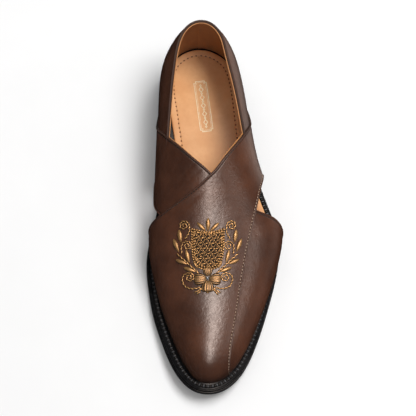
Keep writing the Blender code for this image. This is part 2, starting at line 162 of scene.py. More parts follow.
# Each strap is swept by rungs, from its back edge to its front edge
RUNG_COLUMNS = ("back_station", "back_q", "front_station", "front_q")
OVER_STRAP = (
    (0.235, 1.00, 0.372, 1.00),
    (0.290, 0.78, 0.398, 0.72),
    (0.335, 0.47, 0.438, 0.505),
    (0.383, 0.19, 0.473, 0.410),
    (0.417, 0.03, 0.508, 0.353),
    (0.453, -0.235, 0.555, 0.322),
    (0.480, -0.52, 0.615, 0.304),
    (0.495, -0.80, 0.660, 0.307),
    (0.512, -1.00, 0.700, 0.319),
    (0.600, -1.00, 0.745, 0.342),
    (0.700, -1.00, 0.790, 0.382),
    (0.800, -1.00, 0.835, 0.458),
    (0.880, -1.00, 0.868, 0.58),
    (0.930, -1.00, 0.888, 0.75),
    (0.960, -1.00, 0.902, 1.00),
    (0.980, -1.00, 0.945, 1.00),
    (1.000, -1.00, 1.000, 1.00),
)
UNDER_STRAP = (
    (0.235, -1.00, 0.372, -1.00),
    (0.285, -0.85, 0.395, -0.84),
    (0.323, -0.57, 0.448, -0.715),
    (0.357, -0.345, 0.485, -0.535),
    (0.385, -0.18, 0.530, -0.30),
    (0.417, 0.03, 0.600, -0.05),
    (0.455, 0.24, 0.690, 0.10),
    (0.485, 0.405, 0.790, 0.20),
    (0.493, 0.60, 0.870, 0.38),
    (0.508, 0.80, 0.910, 0.68),
    (0.530, 1.00, 0.925, 1.00),
)

# Rows of OVER_STRAP between which it climbs from the quarter onto the under strap, at which its back
# edge reaches the welt, and at which its front edge does
CLIMB_START = 0.5
CLIMB_END = 3.0
BACK_MEETS_WELT = 8
FRONT_MEETS_WELT = 14
# The row of UNDER_STRAP at which its front edge goes under the over strap, and how many rows before
# the welt the over strap's seams stop
UNDER_SEAM_END = 4
SEAM_STOPS = 0.3

# The insole is cut in at the medial waist: shares of INSOLE_WAIST_CUT
WAIST_COLUMNS = ("station", "cut")
WAIST_CUT = (
    (0.000, 0.00),
    (0.120, 0.00),
    (0.200, 0.18),
    (0.270, 0.60),
    (0.340, 1.00),
    (0.420, 0.90),
    (0.500, 0.35),
    (0.580, 0.00),
    (1.000, 0.00),
)


def linear(code):
    """sRGB hex colour to linear, for one shader or property."""
    parts = [int(code[i:i + 2], 16) / 255 for i in (1, 3, 5)]
    return tuple(c / 12.92 if c <= 0.04045 else ((c + 0.055) / 1.055)**2.4 for c in parts)


def columns(names, rows):
    """Columns of a table by name."""
    return {name: np.array([row[i] for row in rows]) for i, name in enumerate(names)}


def mirrored(values, odd):
    """Knots and slopes of a smooth cubic through evenly spaced values, continued past both ends as
    an even or an odd function, so that the shape closes round over the heel and the toe."""
    sign = -1.0 if odd else 1.0
    knots = np.concatenate([sign * values[3:0:-1], values, sign * values[-2:-5:-1]])
    count = len(knots)
    matrix = np.diag(np.full(count, 4.0)) + np.diag(np.ones(count - 1), 1)
    matrix += np.diag(np.ones(count - 1), -1)
    right = np.zeros(count)
    right[1:-1] = 3.0 * (knots[2:] - knots[:-2])
    matrix[0, :] = 0.0
    matrix[0, 0] = 1.0
    matrix[-1, :] = 0.0
    matrix[-1, -1] = 1.0
    return knots, np.linalg.solve(matrix, right)


LAST = {name: mirrored(values, name in ODD_COLUMNS)
        for name, values in columns(SECTION_COLUMNS, SECTIONS).items()}


def cubic(f, start, end, start_slope, end_slope):
    """The cubic with the given values and slopes at both ends of a step, at a share f of the step."""
    return (start * (2 * f**3 - 3 * f**2 + 1) + start_slope * (f**3 - 2 * f**2 + f)
            + end * (3 * f**2 - 2 * f**3) + end_slope * (f**3 - f**2))


def section(name, station):
    """One column of SECTIONS at any station."""
    knots, slope = LAST[name]
    place = np.asarray(station, float) * (len(SECTIONS) - 1) + 3
    i = np.clip(np.floor(place).astype(int), 0, len(knots) - 2)
    return cubic(place - i, knots[i], knots[i + 1], slope[i], slope[i + 1])


def follow(knots, values, at):
    """Smooth curve through the values that never swings past them."""
    knots = np.asarray(knots, float)
    values = np.asarray(values, float)
    step = np.diff(knots)
    rise = np.diff(values) / step
    slope = np.zeros_like(values)
    slope[0] = rise[0]
    slope[-1] = rise[-1]
    before = 2 * step[1:] + step[:-1]
    after = step[1:] + 2 * step[:-1]
    same_way = rise[1:] * rise[:-1] > 0
    low = np.where(same_way, rise[:-1], 1.0)
    high = np.where(same_way, rise[1:], 1.0)
    slope[1:-1] = np.where(same_way, (before + after) / (before / low + after / high), 0.0)
    i = np.clip(np.searchsorted(knots, at, side="right") - 1, 0, len(step) - 1)
    return cubic((at - knots[i]) / step[i], values[i], values[i + 1], slope[i] * step[i],
                 slope[i + 1] * step[i])


def ease(share):
    """0 to 1 with level ends."""
    share = np.clip(share, 0.0, 1.0)
    return share * share * (3.0 - 2.0 * share)


def bell(at, centre, width):
    """1 at the centre, falling off to both sides as a bell curve."""
    return np.exp(-((at - centre) / width)**2)


def crowded(count):
    """Steps from 0 to 1 that crowd towards both ends, as a cosine does."""
    return 0.5 - 0.5 * np.cos(np.linspace(0.0, np.pi, count))


def unit(vectors):
    """Vectors made 1 long."""
    return vectors / np.linalg.norm(vectors, axis=-1, keepdims=True)


def run_along(line):
    """Length along a line up to each of its points."""
    return np.concatenate([[0], np.cumsum(np.linalg.norm(np.diff(line, axis=0), axis=1))])


def between(grid, i, j, a, b):
    """Value between four neighbours of a grid, at shares a and b of the way from row i and column j."""
    return (grid[i, j] * (1 - a) * (1 - b) + grid[i + 1, j] * a * (1 - b)
            + grid[i, j + 1] * (1 - a) * b + grid[i + 1, j + 1] * a * b)


def y_at(along):
    """Y of a share of the length from the heel."""
    return HEEL_BACK - SHOE_LENGTH * along


def underside(y):
    """Height of the outsole's underside over the ground: heel seat, arch, flat ball, toe spring."""
    along = (HEEL_BACK - y) / SHOE_LENGTH
    arch = HEEL_HEIGHT * (1.0 - ease((along - ARCH_START) / (ARCH_END - ARCH_START)))
    spring = np.clip((along - SPRING_START) / (1.0 - SPRING_START), 0.0, None)
    return arch + TOE_SPRING * spring**2


def welt_base(y):
    """Height of the welt's underside, just over the outsole's top."""
    return underside(y) + OUTSOLE_THICKNESS + CLEARANCE


def welt_top(y):
    """Height of the welt's top."""
    return welt_base(y) + WELT_THICKNESS


def insole_base(y):
    """Height of the insole's underside."""
    return welt_top(y) + CLEARANCE


def insole_top(y):
    """Height of the insole's top."""
    return insole_base(y) + INSOLE_THICKNESS


def outline(station, side, inset):
    """Plan outline of the sole, moved in by inset. side is -1 medial, +1 lateral. Gives x and y
    and the outward direction."""
    station = np.asarray(station, float)

    def edge(at):
        half = np.where(side < 0, section("medial", at), section("lateral", at))
        return (section("centre", at) + side * half) * BALL_WIDTH, y_at(section("along", at))

    x, y = edge(station)
    x_before, y_before = edge(station - NUDGE)
    x_after, y_after = edge(station + NUDGE)
    run = np.hypot(x_after - x_before, y_after - y_before)
    out_x = -side * (y_after - y_before) / run
    out_y = side * (x_after - x_before) / run
    return x - out_x * inset, y - out_y * inset, out_x, out_y


def feather_inset(station, side):
    """From the sole's edge in to the feather line."""
    share = np.where(side < 0, section("inset_medial", station), section("inset_lateral", station))
    return WELT_MARGIN * share


def ridge(station):
    """Y and Z of the ridge, and how steeply it runs there. The ends, where it hardly moves, take
    the steepness of the stations next to them."""
    def line(at):
        y = y_at(section("ridge_along", at))
        return y, welt_top(y) + INSTEP_HEIGHT * section("ridge", at)

    inner = np.clip(station, LEVEL_BEFORE, STEEP_UNTIL)
    y_before, z_before = line(inner - RIDGE_END)
    y_after, z_after = line(inner + RIDGE_END)
    y, z = line(station)
    slope = (z_after - z_before) / (y_after - y_before) * ease(station / LEVEL_BEFORE)
    return y, z, slope


def last_point(station, q):
    """Point of the last. Each side is one cubic curve, from its feather point up the wall and over
    to the ridge, level across the ridge."""
    side = np.where(q < 0, -1.0, 1.0)
    g = 1.0 - np.abs(q)
    foot_x, foot_y, out_x, out_y = outline(station, side, feather_inset(station, side))
    foot_z = insole_base(foot_y)
    top_x = section("centre", station) * BALL_WIDTH
    top_y, top_z, slope = ridge(station)
    across_x = top_x - foot_x
    across_y = top_y - foot_y
    reach = np.hypot(across_x, across_y)
    rise = top_z - foot_z
    lean = np.where(side < 0, section("lean_medial", station), section("lean_lateral", station))
    top = section("top", station)
    handles = (
        (foot_x, foot_y, foot_z),
        (foot_x + out_x * lean * reach, foot_y + out_y * lean * reach,
         foot_z + section("wall", station) * rise),
        (top_x - across_x * top, top_y - across_y * top, top_z - slope * across_y * top),
        (top_x, top_y, top_z),
    )
    weights = ((1 - g)**3, 3 * g * (1 - g)**2, 3 * g * g * (1 - g), g**3)
    return np.stack([sum(w * h[i] for w, h in zip(weights, handles)) for i in range(3)], axis=-1)


def raised_point(station, q, depth):
    """Point at a depth of leather outside the last, square to it. Near the two ends of the ridge,
    where the sections meet, the direction is taken from just before the end and turned into the
    middle plane in step with how near the end is."""
    short = RIDGE_END * (1.0 - np.abs(q))
    near = np.clip(station, short, 1.0 - short)
    along = last_point(np.minimum(near + NUDGE, 1), q) - last_point(np.maximum(near - NUDGE, 0), q)
    over = last_point(near, np.minimum(q + NUDGE, 1)) - last_point(near, np.maximum(q - NUDGE, -1))
    normal = np.cross(along, over)
    turned = np.clip(np.minimum(station, 1.0 - station) / np.maximum(short, NUDGE), 0.0, 1.0)
    normal[..., 0] *= np.sin(np.pi / 2 * turned)
    return last_point(station, q) + unit(normal) * depth[..., None]


def wall_point(station, q, depth):
    """raised_point with both sides joined where they meet over the heel and the toe, and with its
    lower edge cut level, just over the welt."""
    station, q, depth = np.broadcast_arrays(station, q, depth)
    point = raised_point(station, q, depth)
    mirror = raised_point(station, -q, depth)
    ends = (station <= 0.0) | (station >= 1.0)
    point = np.where(ends[..., None], (point + mirror) / 2, point)
    floor = welt_top(point[..., 1]) + LEATHER_LIFT
    lowest = np.abs(q) >= 1.0
    point[..., 2] = np.where(lowest, floor, np.maximum(point[..., 2], floor))
    return point


# Meshes

def ring_faces(rows, count):
    """Quads between the rows of a grid whose rows are closed loops."""
    i = np.arange(rows - 1)[:, None] * count
    j = np.arange(count)[None, :]
    a = (i + j).ravel()
    b = (i + (j + 1) % count).ravel()
    return np.stack([a, b, b + count, a + count], axis=-1)


def loop_faces(rows, count, folded=False):
    """Quads of a grid whose rows are closed loops, with its ends. An end is closed by pairing the first
    point of the loop with the last, the second with the last but one, and so on. A folded grid has no
    far end, because its last row is closed by lying on itself."""
    k = np.arange(count // 2 - 1)
    cap = np.stack([k, count - 1 - k, count - 2 - k, k + 1], axis=-1)
    far = cap[:0] if folded else (rows - 1) * count + cap[:, ::-1]
    return np.concatenate([ring_faces(rows, count), cap, far])


def outward(points, faces):
    """Turns every face of a closed shape if its signed volume is negative."""
    a, b, c, d = (points[faces[:, i]] for i in range(4))
    volume = sum(np.einsum("ij,ij->i", a, np.cross(*edge)).sum() for edge in ((b, c), (c, d)))
    return faces if volume > 0 else faces[:, ::-1]


def add_piece(name, points, faces, finish, marks=None):
    """Mesh object of the shoe, in place, riding on the one body. marks are numbers for each point
    that the materials read."""
    mesh = bpy.data.meshes.new(name)
    mesh.from_pydata(np.reshape(points, (-1, 3)).tolist(), [], [list(face) for face in faces])
    for mark, values in (marks or {}).items():
        attribute = mesh.attributes.new(mark, "FLOAT", "POINT")
        attribute.data.foreach_set("value", np.asarray(values, np.float32).ravel())
    mesh.shade_smooth()
    mesh.materials.append(finish)
    piece = bpy.data.objects.new(name, mesh)
    bpy.context.scene.collection.objects.link(piece)
    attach(piece, BODY)
    return piece


def add_closed(name, parts, finish, marks=None):
    """One piece from several closed shapes, each a grid of points and its faces."""
    points = []
    faces = []
    start = 0
    for grid, quads in parts:
        flat = grid.reshape(-1, 3)
        faces.append(outward(flat, quads) + start)
        points.append(flat)
        start += len(flat)
    return add_piece(name, np.concatenate(points), np.concatenate(faces).tolist(), finish, marks)


def add_loops(name, loops, finish, marks=None, folded=False):
    """One piece from several closed sweeps, each a grid of rows of loop points."""
    parts = [(grid, loop_faces(*grid.shape[:2], folded)) for grid in loops]
    return add_closed(name, parts, finish, marks)


def scaled(directions, size):
    """Axes for copies of a small shape: three directions for each copy, with their sizes."""
    return np.stack([direction * extent for direction, extent in zip(directions, size)], axis=1)


def add_copies(name, shape, places, axes, finish):
    """Many copies of one small closed sweep in one mesh. shape is its grid of loop points, places are
    the origins and axes holds, for each copy, the directions of its own X, Y and Z, scaled. Each
    point is marked with how high it is on the shape, which the gilt thread reads as painted shade."""
    rows, count = shape.shape[:2]
    flat = shape.reshape(-1, 3)
    faces = outward(flat, loop_faces(rows, count))
    points = places[:, None, :] + np.einsum("pk,nkc->npc", flat, axes)
    offsets = np.arange(len(places))[:, None, None] * len(flat)
    rise = np.clip(0.5 + flat[:, 2] / np.ptp(flat[:, 2]), 0.0, 1.0)
    return add_piece(name, points, (faces[None] + offsets).reshape(-1, 4).tolist(), finish,
                     {"rise": np.tile(rise, len(places))})


def spaced(line, normals, pitch):
    """Places along a line, about a pitch apart, with the tangent, the side and the normal there."""
    length = run_along(line)
    count = max(2, int(round(length[-1] / pitch)))
    at = (np.arange(count) + 0.5) * length[-1] / count

    def read(values, where):
        return np.stack([np.interp(where, length, values[:, i]) for i in range(3)], axis=-1)

    tangent = unit(read(line, at + pitch / 4) - read(line, at - pitch / 4))
    normal = read(normals, at)
    normal = unit(normal - (normal * tangent).sum(1, keepdims=True) * tangent)
    return read(line, at), (tangent, np.cross(normal, tangent), normal)


def around(count):
    """Angles once round a section, half a step off the start."""
    return (np.arange(count)[None, :] + 0.5) * 2 * np.pi / count


def stitch_shape():
    """A thread between two holes, 1 long, wide and high: an arc of round section that is thickest in
    the middle and dips into the leather at both ends."""
    along = np.linspace(-1, 1, 7)[:, None]
    turn = around(6)
    thick = 0.5 * np.sqrt(1.02 - along**2)
    dip = 0.35 * along**2
    return np.stack(np.broadcast_arrays(
        0.5 * along, thick * np.cos(turn), thick * np.sin(turn) - dip), axis=-1)


def ball_shape(rows=7, count=8):
    """A ball, 1 across, as rings from one small end ring to the other, 0.04 of a half turn from its
    poles."""
    up = np.linspace(0.04, 0.96, rows)[:, None] * np.pi
    turn = around(count)
    return 0.5 * np.stack(np.broadcast_arrays(
        np.sin(up) * np.cos(turn), np.sin(up) * np.sin(turn), -np.cos(up)), axis=-1)


def add_stitches(name, line, normals, pitch, size, finish):
    """A row of stitches along a line. size is a stitch's length, width and height."""
    places, directions = spaced(line, normals, pitch)
    return add_copies(name, stitch_shape(), places, scaled(directions, size), finish)


def midway(places):
    """Places halfway to the next one, round a closed row."""
    return (places + np.roll(places, -1, axis=0)) / 2


# Leather walls

# Rungs of the quarter on each side of the heel, and rungs for each row of a strap's table
QUARTER_STEPS = 150
UNDER_STEPS = 20
OVER_STEPS = 18
# Samples along a rung when its length is measured
RUNG_SAMPLES = 25
# Points round a cut edge, and the distances from it at which the first points of a face lie
EDGE_POINTS = 6
FINE_STEPS = np.array([0.0, 0.25, 0.5, 0.75, 1.0, 1.25, 1.5, 1.75, 2.05, 2.45, 3.0, 3.8]) * MM
# The folded edge's bead, from the edge, and half widths of the bead, of the stitches' groove and of
# the flare at the welt
BEAD_PLACE = 0.75 * MM
BEAD_WIDTH = 0.65 * MM
GROOVE_WIDTH = 0.42 * MM
FLARE_WIDTH = 1.0 * MM
# How far dark edge dye reaches in from a free edge; the half width of the painted shade in the
# groove that the stitches lie in, and its share of the edge dye; and how far up from the welt the
# leather is darkened
EDGE_DYE = 0.6 * MM
SEAM_SHADE_WIDTH = 0.45 * MM
SEAM_SHADE_SHARE = 0.8
FOOT_DARK_REACH = 9 * MM
# An edge counts as free or as sewn down by at least this share
LEAST_SHARE = 1e-3
# Round the ridge's end: how far the easing reaches, where it is full, and the width of the fit
END_REACH = 19 * MM
END_CORE = 6 * MM
END_BLUR = 7 * MM
# The fit's grid, and how many places it takes at once
END_GRID = 0.5 * MM
FIT_BATCH = 400
# A point lies on the upper or the lower face where its normal's Z is past this, up or down
END_LEVEL = 0.12
# Steps of the smoothing's weight, and how often it is repeated
WEIGHT_STEPS = 8
SMOOTH_REPEATS = 60


def strap_rungs(table, steps):
    """Where each rung of a strap lies in its table, a few to a row, and the rungs' two ends."""
    index = np.arange(len(table))
    along = np.linspace(0.0, index[-1], steps * index[-1] + 1)
    ends = {name: follow(index, values, along)[:, None]
            for name, values in columns(RUNG_COLUMNS, table).items()}
    return along, ends


def quarter_rungs():
    """Station of each rung of the quarter, below 0 on the medial side, and the rungs' two ends: each
    runs from the feather line up to the collar, and they go round the heel from waist to waist."""
    edge = columns(COLLAR_COLUMNS, COLLAR)
    reach = edge["station"][-1]
    ring = np.linspace(-reach, reach, 2 * QUARTER_STEPS + 1)
    station = np.abs(ring)
    side = np.where(ring < 0, -1.0, 1.0)
    medial = follow(edge["station"], edge["medial"], station)
    lateral = follow(edge["station"], edge["lateral"], station)
    collar = np.where(station == 0, (medial + lateral) / 2, np.where(side < 0, medial, lateral))
    ends = {"back_station": station[:, None], "back_q": side[:, None],
            "front_station": station[:, None], "front_q": (side * collar)[:, None]}
    return ring, ends


def on_rung(ends, share):
    """Station and q at a share of each rung, from its back end to its front end."""
    station = ends["back_station"] + (ends["front_station"] - ends["back_station"]) * share
    q = ends["back_q"] + (ends["front_q"] - ends["back_q"]) * share
    return np.clip(station, 0.0, 1.0), np.clip(q, -1.0, 1.0)


def rung_length(ends):
    """Length of each rung over the last."""
    points = last_point(*on_rung(ends, np.linspace(0.0, 1.0, RUNG_SAMPLES)[None, :]))
    return np.linalg.norm(np.diff(points, axis=1), axis=-1).sum(1)[:, None]


def edge_relief(distance, free, bead):
    """Height of the folded edge over the face: where it is free, a bead and then the groove that the
    stitches lie in, and where it meets the welt, a small flare."""
    sizes = bpy.context.scene.sandal_sizes
    folded = bead * sizes.bead_height * bell(distance, BEAD_PLACE, BEAD_WIDTH)
    folded = folded - sizes.groove_depth * bell(distance, sizes.stitch_inset, GROOVE_WIDTH)
    flare = sizes.foot_flare * bell(distance, 0.0, FLARE_WIDTH)
    return free * folded + (1.0 - free) * flare


def wall_loops(ends, low, high, back_free, front_free, across, relief=None, proud=0.0, bead=1.0):
    """Closed wall of leather as a loop of points for each rung: over the outer face, round the front
    edge as half an ellipse, back under the inner face and round the back edge. The points lie closer
    together next to the edges. low and high are the depths of the two faces, relief adds to the outer
    one, and the front edge stands proud by a length. Gives the loops, and for each point how near it
    is to a free edge or its stitches, and how near to the welt."""
    length = rung_length(ends)
    low, high, back_free, front_free = (
        np.broadcast_to(np.reshape(v, (-1, 1)), length.shape) for v in (low, high, back_free, front_free))
    half = (high - low) / 2
    begin = (half + FINE_STEPS[None, :]) / length
    spread = np.linspace(0.0, 1.0, across + 2)[None, 1:-1]
    middle = begin[:, -1:] + (1 - 2 * begin[:, -1:]) * spread
    face = np.concatenate([begin, middle, 1 - begin[:, ::-1]], axis=1)
    from_back = face * length
    from_front = (1 - face) * length
    outer = high + edge_relief(from_back, back_free, bead) + edge_relief(from_front, front_free, bead)
    if relief is not None:
        outer = outer + relief(wall_point(*on_rung(ends, face), outer))
    turn = np.pi * (np.arange(EDGE_POINTS)[None, :] + 0.5) / EDGE_POINTS
    edges = []
    for column, end, sign, beyond in ((0, 0.0, -1.0, 0.0), (-1, 1.0, 1.0, proud)):
        top = outer[:, [column]]
        out = (half + beyond) * np.sin(turn) - half
        edges.append((end + sign * out / length, (top + low) / 2 + (top - low) / 2 * np.cos(turn)))
    (back_share, back_depth), (front_share, front_depth) = edges
    back_share, back_depth = back_share[:, ::-1], back_depth[:, ::-1]
    mid = EDGE_POINTS // 2
    under = np.broadcast_to(low, face.shape)
    share = np.concatenate([back_share[:, mid:], face, front_share, face[:, ::-1], back_share[:, :mid]], 1)
    depth = np.concatenate([back_depth[:, mid:], outer, front_depth, under, back_depth[:, :mid]], 1)
    points = wall_point(*on_rung(ends, share), depth)

    def nearest(back, front):
        reach = np.stack([share * length / np.maximum(back, LEAST_SHARE),
                          (1 - share) * length / np.maximum(front, LEAST_SHARE)]).min(0)
        return np.maximum(reach, 0.0)

    distance = nearest(back_free, front_free)
    foot = nearest(1 - back_free, 1 - front_free)
    inset = bpy.context.scene.sandal_sizes.stitch_inset
    # The rim mark: edge dye at a free edge, and painted shade in the groove that the stitches lie in
    seam = SEAM_SHADE_SHARE * np.minimum(bead, 1.0) * bell(distance, inset, SEAM_SHADE_WIDTH)
    return points, {"rim": bell(distance, 0.0, EDGE_DYE) + seam, "foot": np.exp(-foot / FOOT_DARK_REACH)}


def edge_line(ends, from_front, distance, depth):
    """Line at a distance from a strap's front or back edge, with its normals."""
    length = rung_length(ends)
    share = 1.0 - distance / length if from_front else distance / length
    station, q = on_rung(ends, share)
    depth = np.broadcast_to(np.reshape(depth, (-1, 1)), station.shape)
    line = wall_point(station, q, depth)
    normals = raised_point(station, q, depth + MM) - raised_point(station, q, depth)
    return line[:, 0], normals[:, 0] / MM


def over_strap_top(along):
    """Depth of the over strap's outer face at rows of its table, eased up from where it lies on the
    quarter to where it lies on the under strap."""
    rise = ease((along - CLIMB_START) / (CLIMB_END - CLIMB_START))
    return UNDER_STRAP_TOP + (OVER_STRAP_TOP - UNDER_STRAP_TOP) * rise + OVER_STRAP_STEP * (1 - rise)


def local_fit(cloud, places):
    """Heights at plan places, each from a quadratic fitted to the cloud's points, whose weights fall
    off from the place as a bell curve."""
    heights = np.empty(len(places))
    for start in range(0, len(places), FIT_BATCH):
        batch = slice(start, start + FIT_BATCH)
        offset = (cloud[None, :, :2] - places[batch, None, :]) / END_BLUR
        weight = np.exp(-(offset**2).sum(-1))
        x, y = offset[..., 0], offset[..., 1]
        terms = np.stack([np.ones_like(x), x, y, x * x, x * y, y * y], axis=-1)
        weighted = terms * weight[..., None]
        left = np.swapaxes(weighted, 1, 2) @ terms + 1e-9 * np.eye(6)
        right = np.swapaxes(weighted, 1, 2) @ cloud[:, 2]
        heights[batch] = np.linalg.solve(left, right[..., None])[:, 0, 0]
    return heights


def merge_fold(piece):
    """Joins points that lie on each other, where the toe's last row folds onto itself."""
    shape = bmesh.new()
    shape.from_mesh(piece.data)
    bmesh.ops.remove_doubles(shape, verts=shape.verts, dist=SAME_POINT)
    bmesh.ops.recalc_face_normals(shape, faces=shape.faces)
    shape.to_mesh(piece.data)
    shape.free()


def ease_ridge_end(piece):
    """Eases the height of both faces onto a local fit round the end of the ridge, where the sections
    close up. A little smoothing then takes the fit's steps out."""
    points = np.array([vertex.co for vertex in piece.data.vertices])
    up = np.array([normal.vector.z for normal in piece.data.vertex_normals])
    end = np.array([section("centre", 1.0) * BALL_WIDTH, ridge(np.array(1.0))[0]])
    away = np.hypot(*(points[:, :2] - end).T)
    weight = ease((END_REACH - away) / (END_REACH - END_CORE))
    for sign in (1.0, -1.0):
        face = np.flatnonzero((away < END_REACH + 2 * END_BLUR) & (sign * up > END_LEVEL))
        cell = np.round(points[face, :2] / MM).astype(int)
        _, cell = np.unique(cell, axis=0, return_inverse=True)
        cell = cell.ravel()
        cloud = np.stack([np.bincount(cell, points[face, i]) for i in range(3)], axis=1)
        cloud /= np.bincount(cell)[:, None]
        moved = face[away[face] < END_REACH]
        grid = np.arange(-END_REACH - MM, END_REACH + MM, END_GRID)
        x, y = np.meshgrid(grid, grid, indexing="ij")
        heights = local_fit(cloud, np.stack([x.ravel(), y.ravel()], axis=1) + end).reshape(x.shape)
        at = (points[moved, :2] - end - grid[0]) / END_GRID
        fitted = between(heights, *at.astype(int).T, *(at - np.floor(at)).T)
        points[moved, 2] += weight[moved] * (fitted - points[moved, 2])
    piece.data.vertices.foreach_set("co", points.ravel())
    piece.data.update()
    level = np.round(WEIGHT_STEPS * weight)
    group = piece.vertex_groups.new(name="ridge_end")
    for step in range(1, WEIGHT_STEPS + 1):
        group.add(np.flatnonzero(level == step).tolist(), step / WEIGHT_STEPS, "REPLACE")
    smooth = piece.modifiers.new("ridge_end", "SMOOTH")
    smooth.factor = 0.5
    smooth.iterations = SMOOTH_REPEATS
    smooth.vertex_group = group.name


# Soft troughs that walking and lasting leave: plan place, direction in degrees, half length, half
# width and depth in millimetres
CREASE_COLUMNS = ("x", "y", "turn", "length", "width", "depth")
OVER_CREASES = (
    (-14, -118, 24, 13, 2.6, 0.30),
    (-20, -124, 30, 10, 2.0, 0.22),
    (-30, -160, 62, 14, 3.0, 0.22),
)
UNDER_CREASES = (
    (-16, -96, 38, 9, 1.6, 0.24),
    (-12, -101, 34, 8, 1.4, 0.22),
    (-24, -104, 44, 11, 2.4, 0.26),
    (-32, -92, 70, 12, 3.0, 0.20),
    (33, -158, -68, 13, 2.4, 0.18),
    (38, -144, -52, 9, 2.0, 0.14),
)


def creases(table):
    """Depth field of the troughs: the sum of bell-shaped dents, long in their own direction, with a low
    ridge on each side."""
    named = {name: values * (1.0 if name == "turn" else MM)
             for name, values in columns(CREASE_COLUMNS, table).items()}

    def field(points):
        scale = bpy.context.scene.sandal_sizes.crease_strength
        total = np.zeros(points.shape[:-1])
        for i in range(len(table)):
            angle = np.radians(named["turn"][i])
            dx = points[..., 0] - named["x"][i]
            dy = points[..., 1] - named["y"][i]
            along = (dx * np.cos(angle) + dy * np.sin(angle)) / named["length"][i]
            over = (dy * np.cos(angle) - dx * np.sin(angle)) / named["width"][i]
            total -= named["depth"][i] * (1 - 0.8 * over**2) * np.exp(-along**2 - over**2)
        return scale * total

    return field


# Materials

def add_node(tree, kind, inputs, output=0, **settings):
    """Adds a node with its settings, sets or links its inputs by name or number, and gives one of its
    outputs. A Mix node takes its share at 0 and numbers at 2 and 3. Colours go in at 6 and 7 and come
    out at 2."""
    made = tree.nodes.new(kind)
    for name, value in settings.items():
        setattr(made, name, value)
    for key, value in inputs.items():
        if isinstance(value, bpy.types.NodeSocket):
            tree.links.new(value, made.inputs[key])
        else:
            made.inputs[key].default_value = value
    return None if output is None else made.outputs[output]


def new_material(name):
    """Material with an empty tree, its tree, and the object coordinates there."""
    made = bpy.data.materials.new(name)
    made.use_nodes = True
    made.node_tree.nodes.clear()
    return made, made.node_tree, add_node(made.node_tree, "ShaderNodeTexCoord", {}, "Object")


def mottle(tree, place, size, low, high, top=1.0):
    """Share from 0 to top, from blotches about size metres across: 0 below the noise's low level and
    top above its high one."""
    level = add_node(tree, "ShaderNodeTexNoise",
                     {"Vector": place, "Scale": 1.0 / size, "Detail": 3.0, "Roughness": 0.6})
    return add_node(tree, "ShaderNodeMapRange",
                    {"Value": level, "From Min": low, "From Max": high, "To Max": top})


def rgba(colour, share=1.0):
    """Colour for a node, darker or lighter by a share."""
    return (*(share * part for part in colour[:3]), 1.0)


def clouded(tree, place, size, low, high, ground, cloud, top=1.0):
    """A colour or earlier mix that a mottle clouds with another colour. Gives the mix and the mottle."""
    share = mottle(tree, place, size, low, high, top)
    mixed = add_node(tree, "ShaderNodeMix", {0: share, 6: ground, 7: cloud}, 2, data_type="RGBA")
    return mixed, share


def aniline_calf():
    """Aniline-dyed and polished calf: deep brown with cloudy darker places, burnished nearly black
    along its free edges, darker towards the welt and with painted shade in the stitches' grooves. Fine
    pebbled grain breaks up a soft shine."""
    colours = bpy.context.scene.sandal_colours
    made, tree, place = new_material("aniline_calf_polished")
    body, _ = clouded(tree, place, 34 * MM, 0.32, 0.70, rgba(colours.leather_dark), rgba(colours.leather))
    body, _ = clouded(tree, place, 1.6 * MM, 0.3, 0.7, body, rgba(colours.leather_dark), 0.35)
    # foot darkens the leather towards the welt; rim is the edge dye and, in the stitches' groove, painted
    # shade
    for mark, low, top in (("foot", 0.0, 0.75), ("rim", 0.15, 0.7)):
        share = add_node(tree, "ShaderNodeAttribute", {}, "Fac", attribute_name=mark)
        share = add_node(tree, "ShaderNodeMapRange", {"Value": share, "From Min": low, "To Max": top})
        body = add_node(tree, "ShaderNodeMix", {0: share, 6: body, 7: rgba(colours.leather_edge)},
                        2, data_type="RGBA")
    # Pores of calf are near 0.3 mm and are drawn at 0.9 mm, so that they show in the render
    pores = add_node(tree, "ShaderNodeTexVoronoi", {"Vector": place, "Scale": 1 / (0.9 * MM)},
                     feature="SMOOTH_F1")
    wrinkles = mottle(tree, place, 3.2 * MM, 0.2, 0.8)
    fine = add_node(tree, "ShaderNodeBump", {"Height": pores, "Strength": 0.42, "Distance": 0.12 * MM})
    coarse = add_node(tree, "ShaderNodeBump", {"Height": wrinkles, "Strength": 0.45, "Distance": 0.3 * MM,
                                               "Normal": fine})
    polish = add_node(tree, "ShaderNodeMapRange", {"Value": wrinkles, "To Min": 0.31, "To Max": 0.45})
    rim = add_node(tree, "ShaderNodeAttribute", {}, "Fac", attribute_name="rim")
    polish = add_node(tree, "ShaderNodeMix", {0: rim, 2: polish, 3: 0.85})
    shader = add_node(tree, "ShaderNodeBsdfPrincipled",
                      {"Base Color": body, "Roughness": polish, "Normal": coarse, "IOR": 1.5})
    add_node(tree, "ShaderNodeOutputMaterial", {"Surface": shader}, None)
    return made


def lining_leather():
    """Undyed glove leather of the lining: warm tan brown and matt, with its cut edge a brighter
    orange tan."""
    colours = bpy.context.scene.sandal_colours
    made, tree, place = new_material("glove_leather_lining")
    body, _ = clouded(tree, place, 12 * MM, 0.3, 0.7, rgba(colours.lining), rgba(colours.lining_dark), 0.4)
    rim = add_node(tree, "ShaderNodeAttribute", {}, "Fac", attribute_name="rim")
    cut = add_node(tree, "ShaderNodeMapRange", {"Value": rim, "From Min": 0.55, "From Max": 0.95})
    body = add_node(tree, "ShaderNodeMix", {0: cut, 6: body, 7: rgba(colours.lining_edge)},
                    2, data_type="RGBA")
    nap = mottle(tree, place, 0.8 * MM, 0.2, 0.8)
    bump = add_node(tree, "ShaderNodeBump", {"Height": nap, "Strength": 0.2, "Distance": 0.12 * MM})
    shader = add_node(tree, "ShaderNodeBsdfPrincipled",
                      {"Base Color": body, "Roughness": 0.62, "Normal": bump})
    add_node(tree, "ShaderNodeOutputMaterial", {"Surface": shader}, None)
    return made


